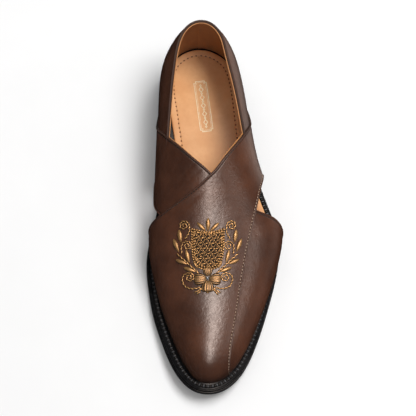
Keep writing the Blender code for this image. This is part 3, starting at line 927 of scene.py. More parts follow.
def insole_leather():
    """Vegetable tanned sheepskin over the insole: pale tan with faint clouds and hair cells, satin
    from the hand."""
    colours = bpy.context.scene.sandal_colours
    made, tree, place = new_material("vegetable_tanned_insole")
    body, _ = clouded(tree, place, 22 * MM, 0.3, 0.7, rgba(colours.insole), rgba(colours.insole_dark))
    body, _ = clouded(tree, place, 2.2 * MM, 0.45, 0.75, body, rgba(colours.insole_dark), 0.4)
    cells = add_node(tree, "ShaderNodeTexVoronoi", {"Vector": place, "Scale": 1 / (1.1 * MM)})
    grain = add_node(tree, "ShaderNodeBump", {"Height": cells, "Strength": 0.15, "Distance": 0.15 * MM})
    shader = add_node(tree, "ShaderNodeBsdfPrincipled",
                      {"Base Color": body, "Roughness": 0.5, "Normal": grain, "IOR": 1.25})
    add_node(tree, "ShaderNodeOutputMaterial", {"Surface": shader}, None)
    return made


def waxed_edge_leather(name, colour, roughness, line_size, ior=1.4):
    """Dyed sole leather with hot wax on its edge: near black, with fine lines along the layers and a
    dull shine."""
    made, tree, place = new_material(name)
    body, scuffs = clouded(tree, place, 5 * MM, 0.4, 0.75, rgba(colour), rgba(colour, 1.7))
    flat = add_node(tree, "ShaderNodeMapping", {"Vector": place, "Scale": (0.06, 0.06, 1.0)})
    lines = mottle(tree, flat, line_size, 0.2, 0.8)
    bump = add_node(tree, "ShaderNodeBump", {"Height": lines, "Strength": 0.3, "Distance": 0.12 * MM})
    wax = add_node(tree, "ShaderNodeMapRange",
                   {"Value": scuffs, "To Min": roughness - 0.05, "To Max": roughness + 0.1})
    shader = add_node(tree, "ShaderNodeBsdfPrincipled",
                      {"Base Color": body, "Roughness": wax, "Normal": bump, "IOR": ior})
    add_node(tree, "ShaderNodeOutputMaterial", {"Surface": shader}, None)
    return made


def moulded_rubber():
    """Moulded rubber of the heel's top piece: charcoal and matt, with a faint cast speckle."""
    made, tree, place = new_material("moulded_rubber")
    body, speck = clouded(tree, place, 1.5 * MM, 0.3, 0.7, rgba(linear("#1a1a1a")), rgba(linear("#262524")))
    bump = add_node(tree, "ShaderNodeBump", {"Height": speck, "Strength": 0.15, "Distance": 0.1 * MM})
    shader = add_node(tree, "ShaderNodeBsdfPrincipled",
                      {"Base Color": body, "Roughness": 0.72, "Normal": bump})
    add_node(tree, "ShaderNodeOutputMaterial", {"Surface": shader}, None)
    return made


def waxed_thread(name, colour, roughness=0.5):
    """Waxed linen sewing thread: one colour with darker fibres, slightly shiny from its wax."""
    made, tree, place = new_material(name)
    body, _ = clouded(tree, place, 0.5 * MM, 0.3, 0.7, rgba(colour), rgba(colour, 0.45), 0.6)
    shader = add_node(tree, "ShaderNodeBsdfPrincipled", {"Base Color": body, "Roughness": roughness})
    add_node(tree, "ShaderNodeOutputMaterial", {"Surface": shader}, None)
    return made


def gilt_thread(name, roughness, metal, bright):
    """Antique gilt embroidery thread: dull gold wire wound on cotton and tarnished brown in clouds,
    bright on top of each turn and nearly black below it, where the rise mark paints shade."""
    colours = bpy.context.scene.sandal_colours
    made, tree, place = new_material(name)
    body, _ = clouded(tree, place, 1.8 * MM, 0.3, 0.7, rgba(colours.gilt, bright),
                      rgba(colours.gilt_dark, bright), 0.7)
    # Painted shade: where the rise mark is low, on the lower sides and between the turns, the colour goes
    # nearly black
    rise = add_node(tree, "ShaderNodeAttribute", {}, "Fac", attribute_name="rise")
    top = add_node(tree, "ShaderNodeMapRange", {"Value": rise, "From Min": 0.35, "From Max": 0.9})
    body = add_node(tree, "ShaderNodeMix", {0: top, 6: rgba(colours.gilt_dark, 0.05), 7: body},
                    2, data_type="RGBA")
    fibre = mottle(tree, place, 0.45 * MM, 0.2, 0.8)
    bump = add_node(tree, "ShaderNodeBump", {"Height": fibre, "Strength": 0.4, "Distance": 0.1 * MM})
    shader = add_node(tree, "ShaderNodeBsdfPrincipled",
                      {"Base Color": body, "Roughness": roughness, "Metallic": metal, "Normal": bump})
    add_node(tree, "ShaderNodeOutputMaterial", {"Surface": shader}, None)
    return made


def bullion_ground():
    """Ground under the lattice: near black, as painted shade in the gaps between the strands, with lighter
    bronze specks for the wire's ends.
    """
    made, tree, place = new_material("lattice_ground_painted_shade")
    body, speck = clouded(tree, place, 0.9 * MM, 0.45, 0.7,
                          rgba(linear("#150d07")), rgba(linear("#4a321a")))
    bump = add_node(tree, "ShaderNodeBump", {"Height": speck, "Strength": 0.6, "Distance": 0.3 * MM})
    shader = add_node(tree, "ShaderNodeBsdfPrincipled",
                      {"Base Color": body, "Roughness": 0.7, "Normal": bump, "IOR": 1.25})
    add_node(tree, "ShaderNodeOutputMaterial", {"Surface": shader}, None)
    return made


def glass_bead():
    """Smoked glass bead: grey, clear-faced and glossy."""
    made, tree, place = new_material("smoked_glass_bead")
    body, _ = clouded(tree, place, 0.8 * MM, 0.3, 0.7, rgba(linear("#6d7072")), rgba(linear("#9aa0a3")))
    shader = add_node(tree, "ShaderNodeBsdfPrincipled",
                      {"Base Color": body, "Roughness": 0.12, "Metallic": 0.4})
    add_node(tree, "ShaderNodeOutputMaterial", {"Surface": shader}, None)
    return made


def gold_foil():
    """Hot-stamped foil on the insole: pale gold, broken where the grain kept it off."""
    made, tree, place = new_material("hot_stamped_foil")
    body, _ = clouded(tree, place, 1.2 * MM, 0.45, 0.75, rgba(linear("#fff3cf")), rgba(linear("#f2cf93")))
    shader = add_node(tree, "ShaderNodeBsdfPrincipled", {"Base Color": body, "Roughness": 0.32})
    add_node(tree, "ShaderNodeOutputMaterial", {"Surface": shader}, None)
    return made


def painted_floor():
    """Matt white studio floor."""
    made, tree, place = new_material("matt_studio_floor")
    body, _ = clouded(tree, place, 60 * MM, 0.3, 0.7, rgba(linear("#ececec")), rgba(linear("#eaeaea")))
    shader = add_node(tree, "ShaderNodeBsdfPrincipled", {"Base Color": body, "Roughness": 0.9})
    add_node(tree, "ShaderNodeOutputMaterial", {"Surface": shader}, None)
    return made


FINISHES = {}


def shared(maker, *values):
    """The material that a maker gives for some values, made once."""
    if (maker, values) not in FINISHES:
        FINISHES[maker, values] = maker(*values)
    return FINISHES[maker, values]


# Settings

class SandalSizes(bpy.types.PropertyGroup):
    """Sizes of edges and stitching"""
    bead_height: FloatProperty(name="Bead height", description="Height of the folded edge's bead",
                               default=0.7 * MM, unit="LENGTH")
    groove_depth: FloatProperty(name="Groove depth", description="Depth of the groove that stitches lie in",
                                default=0.45 * MM, unit="LENGTH")
    foot_flare: FloatProperty(name="Foot flare", description="How far leather turns out at the welt",
                              default=0.55 * MM, unit="LENGTH")
    stitch_inset: FloatProperty(name="Stitch inset", description="From a strap's edge to its stitches",
                                default=2.05 * MM, unit="LENGTH")
    seam_pitch: FloatProperty(name="Seam pitch", description="From stitch to stitch on the upper",
                              default=2.6 * MM, unit="LENGTH")
    welt_pitch: FloatProperty(name="Welt pitch", description="From stitch to stitch on the welt",
                              default=3.6 * MM, unit="LENGTH")
    insole_pitch: FloatProperty(name="Insole pitch", description="From hole to hole on the insole",
                                default=3.7 * MM, unit="LENGTH")
    crease_strength: FloatProperty(name="Creases", description="Strength of the leather's creases",
                                   default=1.0, min=0.0, max=2.0)


class SandalColours(bpy.types.PropertyGroup):
    """Colours of leather, sole and thread"""
    leather: FloatVectorProperty(name="Leather", description="Upper leather where it is lightest",
                                 subtype="COLOR", default=linear("#5e3622"))
    leather_dark: FloatVectorProperty(name="Leather, dark", description="Upper leather in its dark clouds",
                                      subtype="COLOR", default=linear("#402316"))
    # Leather edge also gives the painted shade in the stitches' grooves and the darkening towards the welt
    leather_edge: FloatVectorProperty(name="Leather edge", description="Edge dye and burnish",
                                      subtype="COLOR", default=linear("#26150c"))
    lining: FloatVectorProperty(name="Lining", description="Lining leather",
                                subtype="COLOR", default=linear("#b07844"))
    lining_dark: FloatVectorProperty(name="Lining, dark", description="Lining leather in its dark clouds",
                                     subtype="COLOR", default=linear("#8a5930"))
    lining_edge: FloatVectorProperty(name="Lining edge", description="Cut edge of the lining",
                                     subtype="COLOR", default=linear("#c98a54"))
    insole: FloatVectorProperty(name="Insole", description="Insole leather",
                                subtype="COLOR", default=linear("#eab581"))
    insole_dark: FloatVectorProperty(name="Insole, dark", description="Insole leather in its clouds",
                                     subtype="COLOR", default=linear("#da9e6a"))
    sole: FloatVectorProperty(name="Sole", description="Dyed edge of sole and heel",
                              subtype="COLOR", default=linear("#1b1b1c"))
    welt: FloatVectorProperty(name="Welt", description="Dyed welt",
                              subtype="COLOR", default=linear("#111112"))
    gilt: FloatVectorProperty(name="Gilt thread", description="Embroidery where it is bright",
                              subtype="COLOR", default=linear("#c89a62"))
    # Gilt thread, dark, also gives the embroidery's painted shade, nearly black
    gilt_dark: FloatVectorProperty(name="Gilt thread, dark", description="Embroidery where it is tarnished",
                                   subtype="COLOR", default=linear("#6c4821"))


# Upper

# The seam up the back of the quarter's lining: its station, and its groove's width as a share of the
# stations and depth
BACK_SEAM = -0.004
BACK_SEAM_WIDTH = 0.0016
BACK_SEAM_DEPTH = 0.35 * MM
# How far the quarter's lining shows over the collar
LINING_PROUD = 0.2 * MM


class SANDAL_OT_quarter(bpy.types.Operator):
    """Back part of the upper, round the heel, with its folded collar and its lining"""
    bl_idname = "sandal.quarter"
    bl_label = "Quarter"

    def execute(self, context):
        ring, ends = quarter_rungs()
        points, marks = wall_loops(ends, LEATHER_LOW, QUARTER_TOP, 0.0, 1.0, across=34, bead=1.5)
        quarter = add_loops("quarter", [points], shared(aniline_calf), marks)
        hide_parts("upper")
        seam = bell(ring, BACK_SEAM, BACK_SEAM_WIDTH)[:, None] * BACK_SEAM_DEPTH
        points, marks = wall_loops(ends, seam, LINING_WALL, 0.0, 1.0, across=26, proud=LINING_PROUD,
                                   bead=0.0)
        add_loops("quarter_lining", [points], shared(lining_leather), marks)
        return {"FINISHED"}


class SANDAL_OT_straps(bpy.types.Operator):
    """The two straps: the under strap, and the over strap that runs on as vamp and toe, each with its
    lining"""
    bl_idname = "sandal.straps"
    bl_label = "Straps"

    def execute(self, context):
        leather = shared(aniline_calf)
        glove = shared(lining_leather)
        _, ends = strap_rungs(UNDER_STRAP, UNDER_STEPS)
        points, marks = wall_loops(ends, LEATHER_LOW, UNDER_STRAP_TOP, 1.0, 1.0, across=50,
                                   relief=creases(UNDER_CREASES))
        under = add_loops("under_strap", [points], leather, marks)
        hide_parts("upper")
        points, marks = wall_loops(ends, UNDER_LINING_LOW, LINING_WALL, 1.0, 1.0, across=20, bead=0.0)
        add_loops("under_strap_lining", [points], glove, marks)

        along, ends = strap_rungs(OVER_STRAP, OVER_STEPS)
        top = over_strap_top(along)
        back_free = 1.0 - ease(along - (BACK_MEETS_WELT - 1))
        front_free = 1.0 - ease(along - (FRONT_MEETS_WELT - 1))
        points, marks = wall_loops(ends, top - OVER_STRAP_WALL, top, back_free, front_free, across=76,
                                   relief=creases(OVER_CREASES))
        over = add_loops("over_strap", [points], leather, marks, folded=True)
        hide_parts("upper")
        points, marks = wall_loops(ends, 0.0, LINING_WALL, back_free, front_free, across=30, bead=0.0)
        lining = add_loops("over_strap_lining", [points], glove, marks, folded=True)
        for piece in (over, lining):
            merge_fold(piece)
            ease_ridge_end(piece)
        return {"FINISHED"}


class SANDAL_OT_seams(bpy.types.Operator):
    """Rows of stitches along the collar and the straps' edges"""
    bl_idname = "sandal.seams"
    bl_label = "Seams"

    def execute(self, context):
        sizes = context.scene.sandal_sizes
        brown = shared(waxed_thread, "waxed_thread_brown", linear("#120a06"))
        tan = shared(waxed_thread, "waxed_thread_tan", linear("#c4a68e"))
        stout = (0.70 * sizes.seam_pitch, 1.3 * MM, 0.9 * MM)
        fine = (0.66 * sizes.seam_pitch, 1.0 * MM, 1.0 * MM)
        collar = quarter_rungs()
        under = strap_rungs(UNDER_STRAP, UNDER_STEPS)
        over = strap_rungs(OVER_STRAP, OVER_STEPS)
        over_top = over_strap_top(over[0])
        # Each seam: its rungs, whether it follows their front ends, the depth of the leather's face,
        # where it stops, its stitch and its thread
        for name, (along, ends), from_front, top, until, stitch, thread in (
                ("collar_stitches", collar, True, QUARTER_TOP, np.inf, stout, brown),
                ("under_strap_back_stitches", under, False, UNDER_STRAP_TOP, np.inf, stout, brown),
                ("under_strap_front_stitches", under, True, UNDER_STRAP_TOP, UNDER_SEAM_END, stout, brown),
                ("over_strap_back_stitches", over, False, over_top, BACK_MEETS_WELT - SEAM_STOPS, stout,
                 brown),
                ("vamp_seam_stitches", over, True, over_top, FRONT_MEETS_WELT - SEAM_STOPS, fine, tan)):
            line, normals = edge_line(ends, from_front, sizes.stitch_inset, top - sizes.groove_depth)
            rows = along < until
            add_stitches(name, line[rows], normals[rows], sizes.seam_pitch, stitch, thread)
        return {"FINISHED"}


# Bottom

# Stations of the rings of a plate, and points on each side of a seam line round the sole
SOLE_STATIONS = crowded(181)
SEAM_POINTS = 400
# Profiles are pairs of inset from an edge and height, in millimetres. A plate's face is closed across
# from its innermost ring, which lies at CORE where nothing nearer does.
CORE = 14.0
# Leather lifts in the heel
LIFTS = 3
# From the insole's edge in to its row of holes, in millimetres
HOLES_INSET = 5.5


def side_lines(stations, inset, height):
    """The sole's medial and lateral side as lines, at an inset of station and side and a height of y."""
    lines = []
    for side in (-1.0, 1.0):
        x, y, _, _ = outline(stations, side, inset(stations, side))
        lines.append(np.stack([x, y, height(y)], axis=-1))
    return lines


def plate(name, stations, layers, finish):
    """Solid between a pile of outlines. Each layer is an inset of station and side, and a height over
    or under a surface of y. The ends and the two faces are closed by rungs from side to side."""
    closed = 1 if stations[-1] >= 1.0 else 0
    rings = []
    for inset, height in layers:
        medial, lateral = side_lines(stations, inset, height)
        rings.append(np.concatenate([medial, lateral[::-1][closed:-1]]))
    size = len(rings[0])
    i = np.arange(len(stations) - 1)
    rungs = np.stack([i, (size - i) % size, (size - i - 1) % size, i + 1], axis=-1)
    tops = (len(rings) - 1) * size + rungs[:, ::-1]
    points = np.concatenate(rings)
    quads = outward(points, np.concatenate([ring_faces(len(rings), size), rungs, tops]))
    return add_piece(name, points, [list(dict.fromkeys(face)) for face in quads.tolist()], finish)


def outsole_edge(station, side):
    """Inset of the outsole's edge: it is the outline itself."""
    return 0.0 * station


def welt_edge(station, side):
    """Inset of the welt's edge."""
    return outsole_edge(station, side) + WELT_STEP


def heel_foot(station, side):
    """Inset of the heel where it meets the ground."""
    return outsole_edge(station, side) + HEEL_STEP + HEEL_TAPER


def insole_edge(station, side):
    """The feather line moved in a little, more so round the heel, and cut in at the medial waist."""
    waist = columns(WAIST_COLUMNS, WAIST_CUT)
    cut = np.where(side < 0, follow(waist["station"], waist["cut"], station), 0.0)
    heel = HEEL_GAP * (1.0 - ease(station / HEEL_GAP_END))
    return feather_inset(station, side) + INSOLE_MARGIN + INSOLE_WAIST_CUT * cut + heel


def insole_seam(station, side):
    """Inset of the insole's holes and thread."""
    return insole_edge(station, side) + HOLES_INSET * MM


def welt_seam(station, side):
    """Inset of the welt's stitches: a little more where the feather line lies further in."""
    return 2.2 * MM + 0.25 * feather_inset(station, side)


def ring_line(inset, height):
    """Closed line round the sole at an inset, with its upward normals."""
    medial, lateral = side_lines(crowded(SEAM_POINTS), inset, height)
    line = np.concatenate([medial, lateral[::-1]])
    return line, np.broadcast_to(np.array([0.0, 0.0, 1.0]), line.shape)


def profile(edge, heights, steps):
    """Layers of a plate from pairs of inset from its edge and height over a surface, in millimetres."""
    return [(lambda s, side, d=inset: edge(s, side) + d * MM, lambda y, h=rise: heights(y) + h * MM)
            for inset, rise in steps]


class SANDAL_OT_bottom(bpy.types.Operator):
    """Outsole and welt, with the welt's seam"""
    bl_idname = "sandal.bottom"
    bl_label = "Outsole and welt"

    def execute(self, context):
        colours = context.scene.sandal_colours
        thick = OUTSOLE_THICKNESS / MM
        # Underside with its seam channel, rounded lower edge, wheeled line, upper edge and top
        steps = ((CORE, 0.0), (7.0, 0.0), (6.4, 0.35), (5.8, 0.0),
                 (0.7, 0.0), (0.2, 0.2), (0.0, 0.7), (0.0, 2.1), (0.25, 2.35), (0.0, 2.6),
                 (0.0, thick - 0.8), (0.2, thick - 0.25), (0.7, thick), (CORE, thick))
        outsole = plate("sole_leather", SOLE_STATIONS, profile(outsole_edge, underside, steps),
                        shared(waxed_edge_leather, "sole_leather_edge_dyed", tuple(colours.sole), 0.42,
                               0.5 * MM))
        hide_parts("outsole")

        thick = WELT_THICKNESS / MM
        # Edge, rounded top with a wheeled line, then the trough that the stitches lie in
        layers = profile(welt_edge, welt_base, (
            (CORE, 0.0), (0.5, 0.0), (0.0, 0.5), (0.0, thick - 0.9), (0.15, thick - 0.4),
            (0.5, thick - 0.1), (0.9, thick), (1.15, thick - 0.1), (1.35, thick - 0.5),
            (1.6, thick - 0.5), (1.8, thick - 0.1)))
        layers += profile(welt_seam, welt_top, (
            (-1.1, 0.0), (-0.8, -0.35), (-0.3, -0.55), (0.3, -0.55), (0.8, -0.35), (1.1, 0.0), (6.0, 0.0)))
        welt = plate("welt_and_midsole", SOLE_STATIONS, layers,
                     shared(waxed_edge_leather, "welt_leather_waxed", tuple(colours.welt), 0.30,
                            0.6 * MM, 1.2))
        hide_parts("welt")
        pitch = context.scene.sandal_sizes.welt_pitch
        places, directions = spaced(*ring_line(welt_seam, welt_top), pitch)
        add_copies("welt_stitches", stitch_shape(), places,
                   scaled(directions, (0.66 * pitch, 2.7 * MM, 2.4 * MM)),
                   shared(waxed_thread, "waxed_thread_black", linear("#040404")))
        # Marks of the welt wheel run across between the stitches. Their light grey is a painted glint
        tangent, side, normal = directions
        add_copies("welt_wheel_marks", stitch_shape(), midway(places),
                   scaled((side, -tangent, normal), (3.2 * MM, 1.2 * MM, 1.6 * MM)),
                   shared(waxed_edge_leather, "welt_wax_rubbed", linear("#4c4c4e"), 0.35, 0.5 * MM))
        return {"FINISHED"}


class SANDAL_OT_heel(bpy.types.Operator):
    """Heel of stacked lifts on a rubber top piece"""
    bl_idname = "sandal.heel"
    bl_label = "Heel"

    def execute(self, context):
        samples = np.linspace(0.0, 1.0, 400)
        heel_end = np.interp(HEEL_LENGTH / SHOE_LENGTH, section("along", samples), samples)
        stations = heel_end * (1 - np.cos(np.linspace(0.0, np.pi / 2, 61)))
        base = TOP_PIECE_THICKNESS + CLEARANCE
        layers = []
        # Each lift is a flat edge between two shallow grooves. The heel widens up to the outsole.
        for lift in range(LIFTS):
            for share, groove in ((0.0, 0.2), (0.08, 0.0), (0.92, 0.0), (1.0, 0.2)):
                at = (lift + share) / LIFTS
                layers.append((
                    lambda s, side, a=at, g=groove: heel_foot(s, side) - HEEL_TAPER * a + g * MM,
                    lambda y, a=at: base + (underside(y) - CLEARANCE - base) * a))
        sole = tuple(context.scene.sandal_colours.sole)
        stack = plate("heel_lifts", stations, layers,
                      shared(waxed_edge_leather, "heel_lifts_waxed", sole, 0.38, 0.5 * MM))
        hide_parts("heel_stack")
        thick = TOP_PIECE_THICKNESS / MM
        steps = ((5.5, 0.0), (4.9, 0.3), (4.3, 0.0), (0.7, 0.0), (0.2, 0.2), (0.0, 0.7),
                 (0.0, thick - 0.5), (0.5, thick))
        top_piece = plate("rubber_top_piece", stations, profile(heel_foot, lambda y: 0.0 * y, steps),
                          shared(moulded_rubber))
        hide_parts("heel_top_piece")
        return {"FINISHED"}


# The foil frame on the insole: its centre, the turn of its long axis from Y, its half sizes, its line
# and its notched corners, and the thinner line inside it
FRAME_CENTRE = (0.9 * MM, -22.2 * MM)
FRAME_TURN = np.radians(5.2)
FRAME_HALF = (5.2 * MM, 22.0 * MM)
FRAME_LINE = 0.6 * MM
FRAME_NOTCH = 1.5 * MM
INNER_LINE = 0.28 * MM
INNER_GAP = 1.1 * MM
# Its lozenges: corners and pitch, and the size of the small ones between them
LOZENGE = np.array([(0, 2.3), (1.7, 0), (0, -2.3), (-1.7, 0)]) * MM
LOZENGE_PITCH = 7.2 * MM
SMALL_LOZENGE = 0.42
# The foil's longest face, and its lines as shares of its width and heights over the insole
FOIL_STEP = 2 * MM
FOIL_SECTION = ((-0.5, -0.05 * MM), (-0.5, 0.06 * MM), (0.5, 0.06 * MM), (0.5, -0.05 * MM))


def foil_strip(path, width):
    """Flat strip along a closed path in the frame's own plane, mitred at the corners: its section is
    carried along the path and closed on itself. Gives its points and faces."""
    fine = []
    for a, b in zip(path, np.roll(path, -1, axis=0)):
        count = max(2, int(np.linalg.norm(b - a) / FOIL_STEP) + 1)
        fine.append(a + (b - a) * np.linspace(0, 1, count, endpoint=False)[:, None])
    path = np.concatenate(fine)
    before = unit(path - np.roll(path, 1, axis=0))
    after = unit(np.roll(path, -1, axis=0) - path)
    mitre = (before + after)[:, ::-1] * (-1, 1)
    mitre /= (mitre * after[:, ::-1] * (-1, 1)).sum(1, keepdims=True)
    cos, sin = np.cos(FRAME_TURN), np.sin(FRAME_TURN)
    rows = []
    for offset, rise in FOIL_SECTION:
        flat = (path + mitre * offset * width) @ np.array([[cos, sin], [-sin, cos]]) + FRAME_CENTRE
        rows.append(np.column_stack([flat, insole_top(flat[:, 1]) + rise]))
    sides = len(FOIL_SECTION)
    return np.stack(rows, axis=1), ring_faces(len(path) + 1, sides) % (len(path) * sides)


def foil_strips():
    """The frame with its inner line, and the lozenges inside it."""
    w, h = FRAME_HALF
    n = FRAME_NOTCH
    corners = np.array([(w - n, h), (w - n, h - n), (w, h - n)])
    rim = np.concatenate([corners, corners[::-1] * (1, -1), corners * (-1, -1), corners[::-1] * (-1, 1)])
    inner = rim * (1 - INNER_GAP / w, 1 - INNER_GAP / h)
    strips = [foil_strip(rim, FRAME_LINE), foil_strip(inner, INNER_LINE)]
    for size, width, count in ((1.0, 0.6 * MM, 5), (SMALL_LOZENGE, 0.55 * MM, 6)):
        for y in (np.arange(count) - (count - 1) / 2) * LOZENGE_PITCH:
            strips.append(foil_strip(LOZENGE * size + (0, y), width))
    return strips


class SANDAL_OT_insole(bpy.types.Operator):
    """Insole with its row of stitches and a stamped foil frame"""
    bl_idname = "sandal.insole"
    bl_label = "Insole"

    def execute(self, context):
        thick = INSOLE_THICKNESS / MM
        # Rounded edge, then the shallow groove that the holes lie in
        steps = ((CORE, 0.0), (0.5, 0.0), (0.0, 0.5), (0.0, thick - 0.9), (0.2, thick - 0.35),
                 (0.7, thick - 0.08), (1.4, thick), (HOLES_INSET - 0.9, thick),
                 (HOLES_INSET - 0.4, thick - 0.12), (HOLES_INSET, thick - 0.22),
                 (HOLES_INSET + 0.4, thick - 0.12), (HOLES_INSET + 0.9, thick), (7.2, thick))
        insole = plate("insole_cover", SOLE_STATIONS, profile(insole_edge, insole_base, steps),
                       shared(insole_leather))
        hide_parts("insole")
        line, normals = ring_line(insole_seam, lambda y: insole_top(y) - 0.2 * MM)
        places, directions = spaced(line, normals, context.scene.sandal_sizes.insole_pitch)
        # The holes are dark dots on the face: their colour is painted shade in the holes
        add_copies("insole_holes", ball_shape(), places, scaled(directions, (1.9 * MM, 1.4 * MM, 0.6 * MM)),
                   shared(waxed_thread, "punched_hole", linear("#865024"), 0.8))
        add_copies("insole_thread", stitch_shape(), midway(places),
                   scaled(directions, (1.5 * MM, 0.6 * MM, 0.3 * MM)),
                   shared(waxed_thread, "insole_thread_tan", linear("#d9a273")))
        add_closed("insole_foil", foil_strips(), shared(gold_foil))
        return {"FINISHED"}


# Embroidery

# The ornament is charted in millimetres: u is lateral and v runs towards the heel. Its middle lies at
# CHART_MIDDLE in plan, and its axis leans and its edges bow as it is draped over the vamp.
CHART_MIDDLE = (-2.7, -156.1)
CHART_SPREAD = (0.982, 0.93)
CHART_LEAN = (0.04, -0.055)
CHART_BOW = 0.003
CHART_U = np.arange(-34.0, 35.0)
CHART_V = np.arange(-42.0, 31.0)
# Between the rings of a cord, and the step over which a direction is measured, in millimetres
ROPE_STEP = 0.33
CHART_NUDGE = 0.05
# Points round a cord, how far it sinks in and how far its lobes stand out, as shares of its radius
ROPE_SIDES = 10
ROPE_SUNK = 0.25
LOBE = 0.3
# Points of a scroll's coil in each turn, and how far its radius falls, as a share
COIL_STEPS = 14
COIL_FALL = 0.84
# Points round a pad, and round one with ribs, and how many ribs that one has
PAD_SIDES = 16
RIBBED_SIDES = 48
RIBS = 5
# A pad's threads: how they slant, and their relief and the underside's depth as shares of its height
THREAD_SLANT = 0.9
THREAD_RELIEF = 0.13
PAD_SUNK = 0.25
# Half width of a pad at its tips, as a share of its widest
PAD_TIP = 0.015
# Coarse grid over the vamp from which a plan place is found, how often a place's station and q are
# corrected, and by how much at most
VAMP_STATIONS = np.linspace(0.36, 0.92, 36)
VAMP_Q = np.linspace(-0.8, 0.6, 36)
DROP_STEPS = 7
LONGEST_STEP = 0.05


def drape(u, v):
    """Plan place in metres of a chart place: scaled, leaned and bowed."""
    x = CHART_MIDDLE[0] + CHART_SPREAD[0] * u + CHART_LEAN[0] * v
    y = CHART_MIDDLE[1] + CHART_SPREAD[1] * v + CHART_LEAN[1] * u + CHART_BOW * u**2
    return x * MM, y * MM


def drop(x, y, depth):
    """Station and q of the wall's point under a plan place: from the nearest point of a coarse grid, a
    few steps along the slopes of the plan place close the distance."""
    station, q = np.meshgrid(VAMP_STATIONS, VAMP_Q, indexing="ij")
    coarse = raised_point(station, q, np.full(station.shape, depth))
    gap = (coarse[..., 0].ravel() - x[:, None])**2 + (coarse[..., 1].ravel() - y[:, None])**2
    nearest = gap.argmin(axis=1)
    station = station.ravel()[nearest]
    q = q.ravel()[nearest]
    depths = np.full(x.shape, depth)
    want = np.stack([x, y], axis=-1)
    for _ in range(DROP_STEPS):
        here = raised_point(station, q, depths)[:, :2]
        by_station = (raised_point(station + NUDGE, q, depths)[:, :2] - here) / NUDGE
        by_q = (raised_point(station, q + NUDGE, depths)[:, :2] - here) / NUDGE
        miss = here - want
        scale = by_station[:, 0] * by_q[:, 1] - by_station[:, 1] * by_q[:, 0]
        station_step = (miss[:, 0] * by_q[:, 1] - miss[:, 1] * by_q[:, 0]) / scale
        q_step = (by_station[:, 0] * miss[:, 1] - by_station[:, 1] * miss[:, 0]) / scale
        station = station - np.clip(station_step, -LONGEST_STEP, LONGEST_STEP)
        q = q - np.clip(q_step, -LONGEST_STEP, LONGEST_STEP)
    return station, q


def vamp_ground():
    """Points and normals of the over strap's face over every chart place."""
    u, v = np.meshgrid(CHART_U, CHART_V, indexing="ij")
    station, q = drop(*(a.ravel() for a in drape(u, v)), OVER_STRAP_TOP)
    low = raised_point(station, q, np.full(station.shape, OVER_STRAP_TOP))
    high = raised_point(station, q, np.full(station.shape, OVER_STRAP_TOP + MM))
    low = low + np.array([0.0, 0.0, 1.0]) * creases(OVER_CREASES)(low)[:, None]
    return np.concatenate([low, (high - low) / MM], axis=1).reshape(*u.shape, 6)


def on_vamp(ground, chart, height):
    """Points a height in millimetres over the vamp at chart places, and normals there, read between
    the ground's points."""
    u = np.clip(chart[..., 0] - CHART_U[0], 0, len(CHART_U) - 1.001)
    v = np.clip(chart[..., 1] - CHART_V[0], 0, len(CHART_V) - 1.001)
    i, j = u.astype(int), v.astype(int)
    found = between(ground, i, j, (u - i)[..., None], (v - j)[..., None])
    normal = unit(found[..., 3:])
    return found[..., :3] + normal * np.asarray(height)[..., None] * MM, normal


def smooth_path(points, step):
    """Even steps along a smooth curve through a few chart points, and the length up to each."""
    points = np.asarray(points, float)
    run = run_along(points)
    fine = np.linspace(0, run[-1], max(8, int(run[-1] / 0.1)))
    curve = np.stack([follow(run, points[:, k], fine) for k in (0, 1)], axis=1)
    length = run_along(curve)
    at = np.linspace(0, length[-1], max(4, int(round(length[-1] / step)) + 1))
    return np.stack([np.interp(at, length, curve[:, k]) for k in (0, 1)], axis=1), at


def rope(ground, points, radius, ply_pitch):
    """Two-ply cord laid on the vamp: a tube whose round section has two lobes that turn once in two
    plies. Its ends are drawn in to points. Gives its points, and for each a mark of painted shade that
    is high on top of the cord and on its lobes and low under it and between the lobes."""
    path, at = smooth_path(points, ROPE_STEP)
    base, normal = on_vamp(ground, path, np.full(len(path), (1 - ROPE_SUNK) * radius))
    side = np.cross(normal, unit(np.gradient(base, axis=0)))
    turn = around(ROPE_SIDES)
    lobes = 1.0 + LOBE * np.cos(2 * turn - 2 * np.pi * at[:, None] / ply_pitch)
    end = np.sqrt(np.clip(np.minimum(at, at[-1] - at) / (1.2 * radius), 0.03, 1.0))[:, None]
    size = (radius * MM * lobes * end)[..., None]
    points = base[:, None] + size * (np.cos(turn)[..., None] * side[:, None]
                                     + np.sin(turn)[..., None] * normal[:, None])
    on_lobe = (lobes - (1 - LOBE)) / (2 * LOBE)
    return points, (0.5 + 0.5 * np.sin(turn)) * (0.4 + 0.6 * on_lobe)


def scroll(centre, radius, start, turns, tail):
    """Chart points of a cord that comes in along a tail and winds inwards round a centre: the radius
    falls evenly with the turn."""
    share = np.linspace(0.0, 1.0, int(abs(turns) * COIL_STEPS))
    angle = np.radians(start) + 2 * np.pi * turns * share
    reach = radius * (1 - COIL_FALL * share)
    coil = np.stack([centre[0] + reach * np.cos(angle), centre[1] + reach * np.sin(angle)], axis=1)
    return np.concatenate([np.asarray(tail, float).reshape(-1, 2), coil])


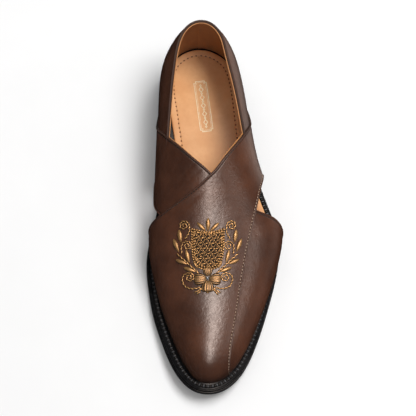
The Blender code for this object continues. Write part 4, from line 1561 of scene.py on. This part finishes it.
def pad(ground, tip, base, width, height, lift=0.0, thread=0.85, full=0.75, swell=0.85, ribs=0.0):
    """Padded satin stitch: a lens from tip to base. The half width is a power of a sine along it, the
    face is half an ellipse, and fine ridges for the threads run slanting across, or ribs along. lift
    is its height over the vamp, thread its threads' pitch, full and swell say how blunt the tips are
    and where it is widest, and ribs is the ribs' depth. Gives its points, and for each a mark of
    painted shade that is high on top of the pad and of its threads and low on its sides, between its
    threads and between its ribs."""
    tip, base = np.asarray(tip, float), np.asarray(base, float)
    length = np.linalg.norm(base - tip)
    share = crowded(max(20, int(length * 4)))[:, None]
    turn = around(RIBBED_SIDES if ribs else PAD_SIDES)
    shape = np.clip(np.sin(np.pi * share**swell), 0.0, 1.0)**full + PAD_TIP
    across = 0.5 * width * shape * np.cos(turn)
    along = (base - tip) / length
    over = np.array([-along[1], along[0]])
    chart = tip + along * (share * length)[..., None] + over * across[..., None]
    slant = share * length + THREAD_SLANT * np.abs(across)
    threads = (0.3 if ribs else 1.0) * np.cos(2 * np.pi * slant / thread)
    ribbed = np.cos(RIBS * np.pi * np.cos(turn)) * np.ones_like(share)
    ridged = 1 + THREAD_RELIEF * threads + ribs * ribbed
    rise = height * shape * np.where(np.sin(turn) > 0, np.sin(turn) * ridged, PAD_SUNK * np.sin(turn))
    # Painted shade: the mark is low on the pad's sides and between its threads, and lower still between the
    # ribs
    mark = np.sqrt(np.clip(np.sin(turn), 0.0, 1.0)) * (0.85 + 0.15 * threads)
    mark = mark - 3.0 * ribs * (0.5 - 0.5 * ribbed)
    return on_vamp(ground, chart, rise + lift)[0], np.clip(mark, 0.0, 1.0)


def both(shapes):
    """Each chart shape and its mirror image in v's axis."""
    return [np.asarray(points, float) * (sign, 1.0) for points in shapes for sign in (1.0, -1.0)]


# Leaves of one side: tip and base in u and v, and width
LEAVES = (
    (22.8, 15.4, 21.4, 4.6, 3.9),
    (27.2, 8.0, 23.0, -2.6, 3.8),
    (17.3, -0.6, 14.6, -11.4, 3.6),
    (25.4, -8.5, 16.3, -12.2, 3.5),
    (19.3, -14.7, 9.1, -18.4, 3.6),
    (11.6, -9.2, 8.0, -15.8, 2.2),
    (8.8, 21.0, 1.2, 13.8, 3.4),
)
MIDDLE_LEAF = ((0.0, 24.8), (0.0, 13.6), 3.9)

# Scrolls and stems of one side: the chart points that each cord is laid through
SCROLLS = (
    scroll((18.9, 18.6), 4.0, 180, -1.75, ((18.2, 7.6), (16.0, 11.0), (14.6, 15.0))),
    scroll((16.2, 2.6), 3.6, 62, 1.6, ((20.3, -4.4), (20.9, 1.0), (19.9, 4.2))),
    scroll((14.3, -22.9), 3.7, 90, 1.6, ((5.7, -30.3), (8.2, -31.7), (12.3, -32.2), (16.3, -31.1),
                                         (19.0, -28.0), (19.9, -24.0), (18.0, -20.4))),
)
STEMS = (
    ((24.5, -3.6), (16.0, -11.2), (6.6, -19.8)),
    ((4.6, -31.0), (7.6, -34.0), (10.6, -35.7)),
    ((4.2, -31.4), (6.4, -34.8), (8.6, -37.2)),
)
# Petals of the flower: tip, base, width and height, and the padded rib on the lowest one
PETALS = (
    ((0.0, -14.8), (0.0, -21.8), 8.0, 1.7),
    ((10.6, -24.4), (1.0, -24.0), 10.0, 2.0),
    ((-10.6, -24.4), (-1.0, -24.0), 10.0, 2.0),
    ((0.0, -34.9), (0.0, -25.2), 10.4, 2.2),
)
PETAL_RIB = ((0.0, -36.2), (0.0, -28.0), 4.6, 1.3)
FLOWER_MIDDLE = (0.0, -23.6)

# The lattice body: its outline, the pitch and lean of its cells, and how many cells reach from its
# middle to each side. The lattice keeps clear of the border by LATTICE_SHRINK.
BODY_OUTLINE = ((12.7, 15.8), (12.6, 9.0), (12.4, 2.0), (11.7, -6.0), (9.6, -11.6), (6.0, -15.2),
                (0.0, -16.4), (-6.0, -15.2), (-9.6, -11.6), (-11.7, -6.0), (-12.4, 2.0), (-12.6, 9.0),
                (-12.7, 15.8), (-7.0, 14.6), (0.0, 13.4), (7.0, 14.6))
CELL = (5.0, 4.1)
CELL_LEAN = 0.8
LATTICE_SHRINK = (0.90, 0.94)
CELLS = 4
# Strands run between these v, in these steps. Their two cords lie STRAND_HALF to both sides, and one
# with fewer points than STRAND_LEAST is left out.
STRAND_TOP = 18.0
STRAND_STEP = 0.4
STRAND_HALF = 0.6
STRAND_LEAST = 9


def inside(outline_points, places):
    """Whether chart places lie inside a closed outline: how often a ray to the side crosses it."""
    ends = np.roll(outline_points, -1, axis=0)
    u, v = places[:, None, 0], places[:, None, 1]
    (u0, v0), (u1, v1) = outline_points.T, ends.T
    crosses = (v0 > v) != (v1 > v)
    at = u0 + (v - v0) * (u1 - u0) / np.where(v1 == v0, 1.0, v1 - v0)
    return (crosses & (u < at)).sum(1) % 2 == 1


def chart_axes(ground, places, along, size, height):
    """Places and axes of small shapes on the vamp: X along a chart direction, Z up, and sizes and
    height in millimetres."""
    heights = np.full(len(places), height)
    here, normal = on_vamp(ground, places, heights)
    there, _ = on_vamp(ground, places + along * CHART_NUDGE, heights)
    x = unit(there - here)
    return here, scaled((x, np.cross(normal, x), normal), np.array(size) * MM)


def add_ropes(name, shapes, finish):
    """One piece of embroidery from several closed sweeps with their marks."""
    marks = np.concatenate([np.broadcast_to(mark, points.shape[:2]).ravel() for points, mark in shapes])
    return add_loops(name, [points for points, _ in shapes], finish, {"rise": marks})


class SANDAL_OT_embroidery(bpy.types.Operator):
    """Ornament on the vamp: a lattice body with a crown of leaves, laurel sprays, scrolls and a
    flower, worked in antique gilt thread"""
    bl_idname = "sandal.embroidery"
    bl_label = "Embroidery"

    def execute(self, context):
        ground = vamp_ground()
        satin = shared(gilt_thread, "gilt_satin_stitch", 0.42, 0.5, 0.95)
        cord = shared(gilt_thread, "gilt_twisted_cord", 0.40, 0.5, 1.35)
        for name, paths, radius, ply_pitch in (("embroidered_scrolls", SCROLLS, 0.60, 2.8),
                                               ("embroidered_stems", STEMS, 0.62, 3.4)):
            add_ropes(name, [rope(ground, path, radius, ply_pitch) for path in both(paths)], cord)
        leaves = []
        for tip_u, tip_v, base_u, base_v, width in LEAVES:
            for sign in (1.0, -1.0):
                leaves.append(pad(ground, (sign * tip_u, tip_v), (sign * base_u, base_v), width, 1.6))
        leaves.append(pad(ground, *MIDDLE_LEAF, 1.9))
        add_ropes("embroidered_leaves", leaves, satin)
        petals = [pad(ground, *petal, lift=0.1, thread=0.8, full=0.40, swell=0.62, ribs=0.14)
                  for petal in PETALS]
        petals.append(pad(ground, *PETAL_RIB, thread=0.8, full=0.8))
        add_ropes("embroidered_flower", petals, satin)
        place, axes = chart_axes(ground, np.array([FLOWER_MIDDLE]), np.array([1.0, 0.0]),
                                 (2.1, 2.1, 1.8), 1.5)
        add_copies("flower_bead", ball_shape(11, 14), place, axes, shared(glass_bead))
        rim = np.array(BODY_OUTLINE)
        chips = shared(gilt_thread, "gilt_bullion", 0.42, 0.5, 1.2)
        self.padding(ground, rim)
        self.lattice(ground, rim * LATTICE_SHRINK, chips)
        self.border(ground, rim, chips)
        return {"FINISHED"}

    def padding(self, ground, rim):
        """Padded ground of the lattice body: rings that shrink to its middle, domed, with a flat
        underside in the leather."""
        path, _ = smooth_path(np.concatenate([rim, rim[:1]]), 0.9)
        share = np.concatenate([np.linspace(0.02, 1.0, 14), [1.01, 0.9, 0.02]])[:, None, None]
        chart = path[None, :-1] * share
        rise = np.concatenate([0.75 * np.sqrt(1 - np.linspace(0.02, 0.985, 14)**6), [-0.05, -0.2, -0.2]])
        shape = on_vamp(ground, chart, np.broadcast_to(rise[:, None], chart.shape[:2]))[0]
        if shape.shape[1] % 2:
            shape = np.concatenate([shape, (shape[:, -1:] + shape[:, :1]) / 2], axis=1)
        # Its near-black finish is painted shade in the gaps between the strands
        add_ropes("lattice_ground", [(shape, np.ones(shape.shape[:2]))], shared(bullion_ground))

    def lattice(self, ground, inner, chips):
        """Leaning strands of two cords each, with short rungs across the cells and thin ties between
        the strands, each turned and sized a little differently."""
        strands = []
        v = np.arange(STRAND_TOP, -STRAND_TOP, -STRAND_STEP)
        for start in np.arange(-CELLS, CELLS + 1) * CELL[0]:
            line = np.stack([start - CELL_LEAN * v, v], axis=1)
            line = line[inside(inner, line)]
            if len(line) >= STRAND_LEAST:
                strands.append(rope(ground, line + (STRAND_HALF, 0.0), 0.46, 2.0))
                strands.append(rope(ground, line - (STRAND_HALF, 0.0), 0.40, 1.7))
        add_ropes("lattice_strands", strands, chips)
        rows, gaps = np.arange(-CELLS, CELLS + 1), np.arange(-CELLS - 1, CELLS + 1)
        row, cell = (a.ravel() for a in np.meshgrid(rows, gaps, indexing="ij"))
        v = 0.6 + row * CELL[1]
        places = np.stack([(cell + 0.5) * CELL[0] - CELL_LEAN * v, v], axis=1)
        places = places[inside(inner, places)]
        chance = np.random.default_rng(3)
        for name, shift, heading, size in (("lattice_rungs", (0.1, 0.0), 8, (4.2, 1.1, 1.8)),
                                           ("lattice_ties", (-1.6, 2.0), 67, (3.6, 0.55, 1.1))):
            middles = (places + shift)[inside(inner, places + shift)]
            angle = np.radians(heading + chance.uniform(-10, 10, len(middles)))
            along = np.stack([np.cos(angle), np.sin(angle)], axis=1)
            here, axes = chart_axes(ground, middles, along, size, 0.9)
            axes *= chance.uniform(0.85, 1.15, (len(middles), 3, 1))
            add_copies(name, stitch_shape(), here, axes, chips)

    def border(self, ground, rim, chips):
        """Two rows of short bullion pieces round the lattice body, leaning opposite ways."""
        for name, inset, lean, pitch in (("border_bullion_outer", 1.0, np.radians(40), 2.0),
                                         ("border_bullion_inner", 0.88, np.radians(-44), 2.2)):
            path, _ = smooth_path(np.concatenate([rim, rim[:1]]) * inset, pitch)
            cos, sin = np.cos(lean), np.sin(lean)
            along = unit(np.diff(path, axis=0)) @ np.array([[cos, sin], [-sin, cos]])
            here, axes = chart_axes(ground, path[:-1], along, (2.9, 1.3, 1.5), 0.75)
            add_copies(name, stitch_shape(), here, axes, chips)


# Stage

# The photograph's camera: its distance from the floor at the middle of its picture, its lean off the
# vertical towards the toe, the shoe's turn in the picture, and where its heel lies from that middle.
# The view is turned to AIM, so that the shoe stands in the middle of the render.
CAMERA_DISTANCE = 1.400
CAMERA_LEAN = np.radians(19.5)
SHOE_SPLAY = np.radians(2.0)
HEEL_PLACE = np.array([0.0475, 0.1062, 0.0])
AIM = np.array([0.0005, -0.112, 0.030])
LENS = 146.1
SENSOR_WIDTH = 36.0
# Half the floor's side, and the point at the shoe's middle that the large boxes face
FLOOR_HALF = 3.0
LIGHTS_AIM = (0.0, -0.11, 0.03)


def area_light(name, place, aim, size, power, colour):
    """Soft box at a place, turned to a point."""
    light = bpy.data.lights.new(name, "AREA")
    light.shape = "RECTANGLE"
    light.size, light.size_y = size
    light.energy = power
    light.color = linear(colour)
    lamp = bpy.data.objects.new(name, light)
    lamp.location = place
    lamp.rotation_mode = "QUATERNION"
    lamp.rotation_quaternion = (Vector(aim) - Vector(place)).to_track_quat("-Z", "Y")
    lamp.visible_camera = False
    bpy.context.scene.collection.objects.link(lamp)
    return lamp


class SANDAL_OT_stage(bpy.types.Operator):
    """Pale floor, soft studio light and the camera at the photograph's angle"""
    bl_idname = "sandal.stage"
    bl_label = "Stage"

    def execute(self, context):
        scene = context.scene
        back = np.array([[np.cos(SHOE_SPLAY), np.sin(SHOE_SPLAY), 0.0],
                         [-np.sin(SHOE_SPLAY), np.cos(SHOE_SPLAY), 0.0], [0.0, 0.0, 1.0]])
        eye = CAMERA_DISTANCE * np.array([0.0, -np.sin(CAMERA_LEAN), np.cos(CAMERA_LEAN)])
        eye = back @ (eye - HEEL_PLACE)
        forward = (AIM - eye) / np.linalg.norm(AIM - eye)
        right = back @ np.array([1.0, 0.0, 0.0])
        right -= (right @ forward) * forward
        right /= np.linalg.norm(right)
        up = np.cross(right, forward)
        camera = bpy.data.objects.new("camera", bpy.data.cameras.new("camera"))
        camera.data.lens = LENS
        camera.data.sensor_width = SENSOR_WIDTH
        camera.data.clip_start = 0.05
        turn = np.stack([right, up, -forward], axis=1)
        camera.matrix_world = Matrix([(*row, place) for row, place in zip(turn, eye)] + [(0, 0, 0, 1)])
        scene.collection.objects.link(camera)
        scene.camera = camera

        corners = [(x * FLOOR_HALF, y * FLOOR_HALF, 0) for x, y in ((-1, -1), (1, -1), (1, 1), (-1, 1))]
        mesh = bpy.data.meshes.new("floor")
        mesh.from_pydata(corners, [], [(0, 1, 2, 3)])
        mesh.materials.append(painted_floor())
        floor = bpy.data.objects.new("floor", mesh)
        scene.collection.objects.link(floor)
        floor.visible_glossy = False

        key = area_light("key_box", (0.50, 0.15, 1.50), LIGHTS_AIM, (0.90, 0.60), 22.0, "#ffffff")
        key.visible_glossy = False
        # Boxes that only show as highlights on the polished leather. The two bounce boxes stand for
        # the floor's reflection.
        for name, place, aim, size, power in (
                ("glow_box", (0.22, -0.23, 1.50), LIGHTS_AIM, (0.95, 0.24), 31.0),
                ("front_box", (0.00, -0.88, 1.45), LIGHTS_AIM, (0.90, 0.22), 10.5),
                ("side_box", (0.45, -0.27, 0.32), (0.02, -0.20, 0.04), (0.12, 0.06), 0.42),
                ("floor_bounce", (0.30, -0.05, 0.005), (0.30, -0.05, 1.0), (0.36, 0.40), 0.25),
                ("near_bounce", (0.095, 0.02, 0.005), (0.095, 0.02, 1.0), (0.05, 0.24), 0.035)):
            area_light(name, place, aim, size, power, "#fff0e6").visible_diffuse = False
        world = bpy.data.worlds.new("studio")
        world.use_nodes = True
        sky = world.node_tree.nodes["Background"]
        sky.inputs["Color"].default_value = rgba(linear("#ffffff"))
        sky.inputs["Strength"].default_value = 0.50
        scene.world = world
        world.cycles_visibility.glossy = False
        scene.view_settings.view_transform = "Standard"
        return {"FINISHED"}


class SANDAL_PT_panel(bpy.types.Panel):
    """Lists the pieces and their settings"""
    bl_idname = "SANDAL_PT_panel"
    bl_label = "Peshawari sandal"
    bl_space_type = "VIEW_3D"
    bl_region_type = "UI"
    bl_category = "Sandal"

    def draw(self, context):
        for group in (context.scene.sandal_sizes, context.scene.sandal_colours):
            box = self.layout.box()
            for name in group.__annotations__:
                box.prop(group, name)
        for operator in OPERATORS:
            self.layout.operator(operator.bl_idname)


OPERATORS = (SANDAL_OT_quarter, SANDAL_OT_straps, SANDAL_OT_seams, SANDAL_OT_bottom, SANDAL_OT_heel,
             SANDAL_OT_insole, SANDAL_OT_embroidery, SANDAL_OT_stage)
CLASSES = (SandalSizes, SandalColours, *OPERATORS, SANDAL_PT_panel)


def register():
    for cls in CLASSES:
        bpy.utils.register_class(cls)
    bpy.types.Scene.sandal_sizes = PointerProperty(type=SandalSizes)
    bpy.types.Scene.sandal_colours = PointerProperty(type=SandalColours)


def unregister():
    del bpy.types.Scene.sandal_colours
    del bpy.types.Scene.sandal_sizes
    for cls in reversed(CLASSES):
        bpy.utils.unregister_class(cls)


def main():
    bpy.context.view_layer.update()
    register()
    for operator in OPERATORS:
        group, name = operator.bl_idname.split(".")
        getattr(getattr(bpy.ops, group), name)()


if __name__ == "__main__":
    main()
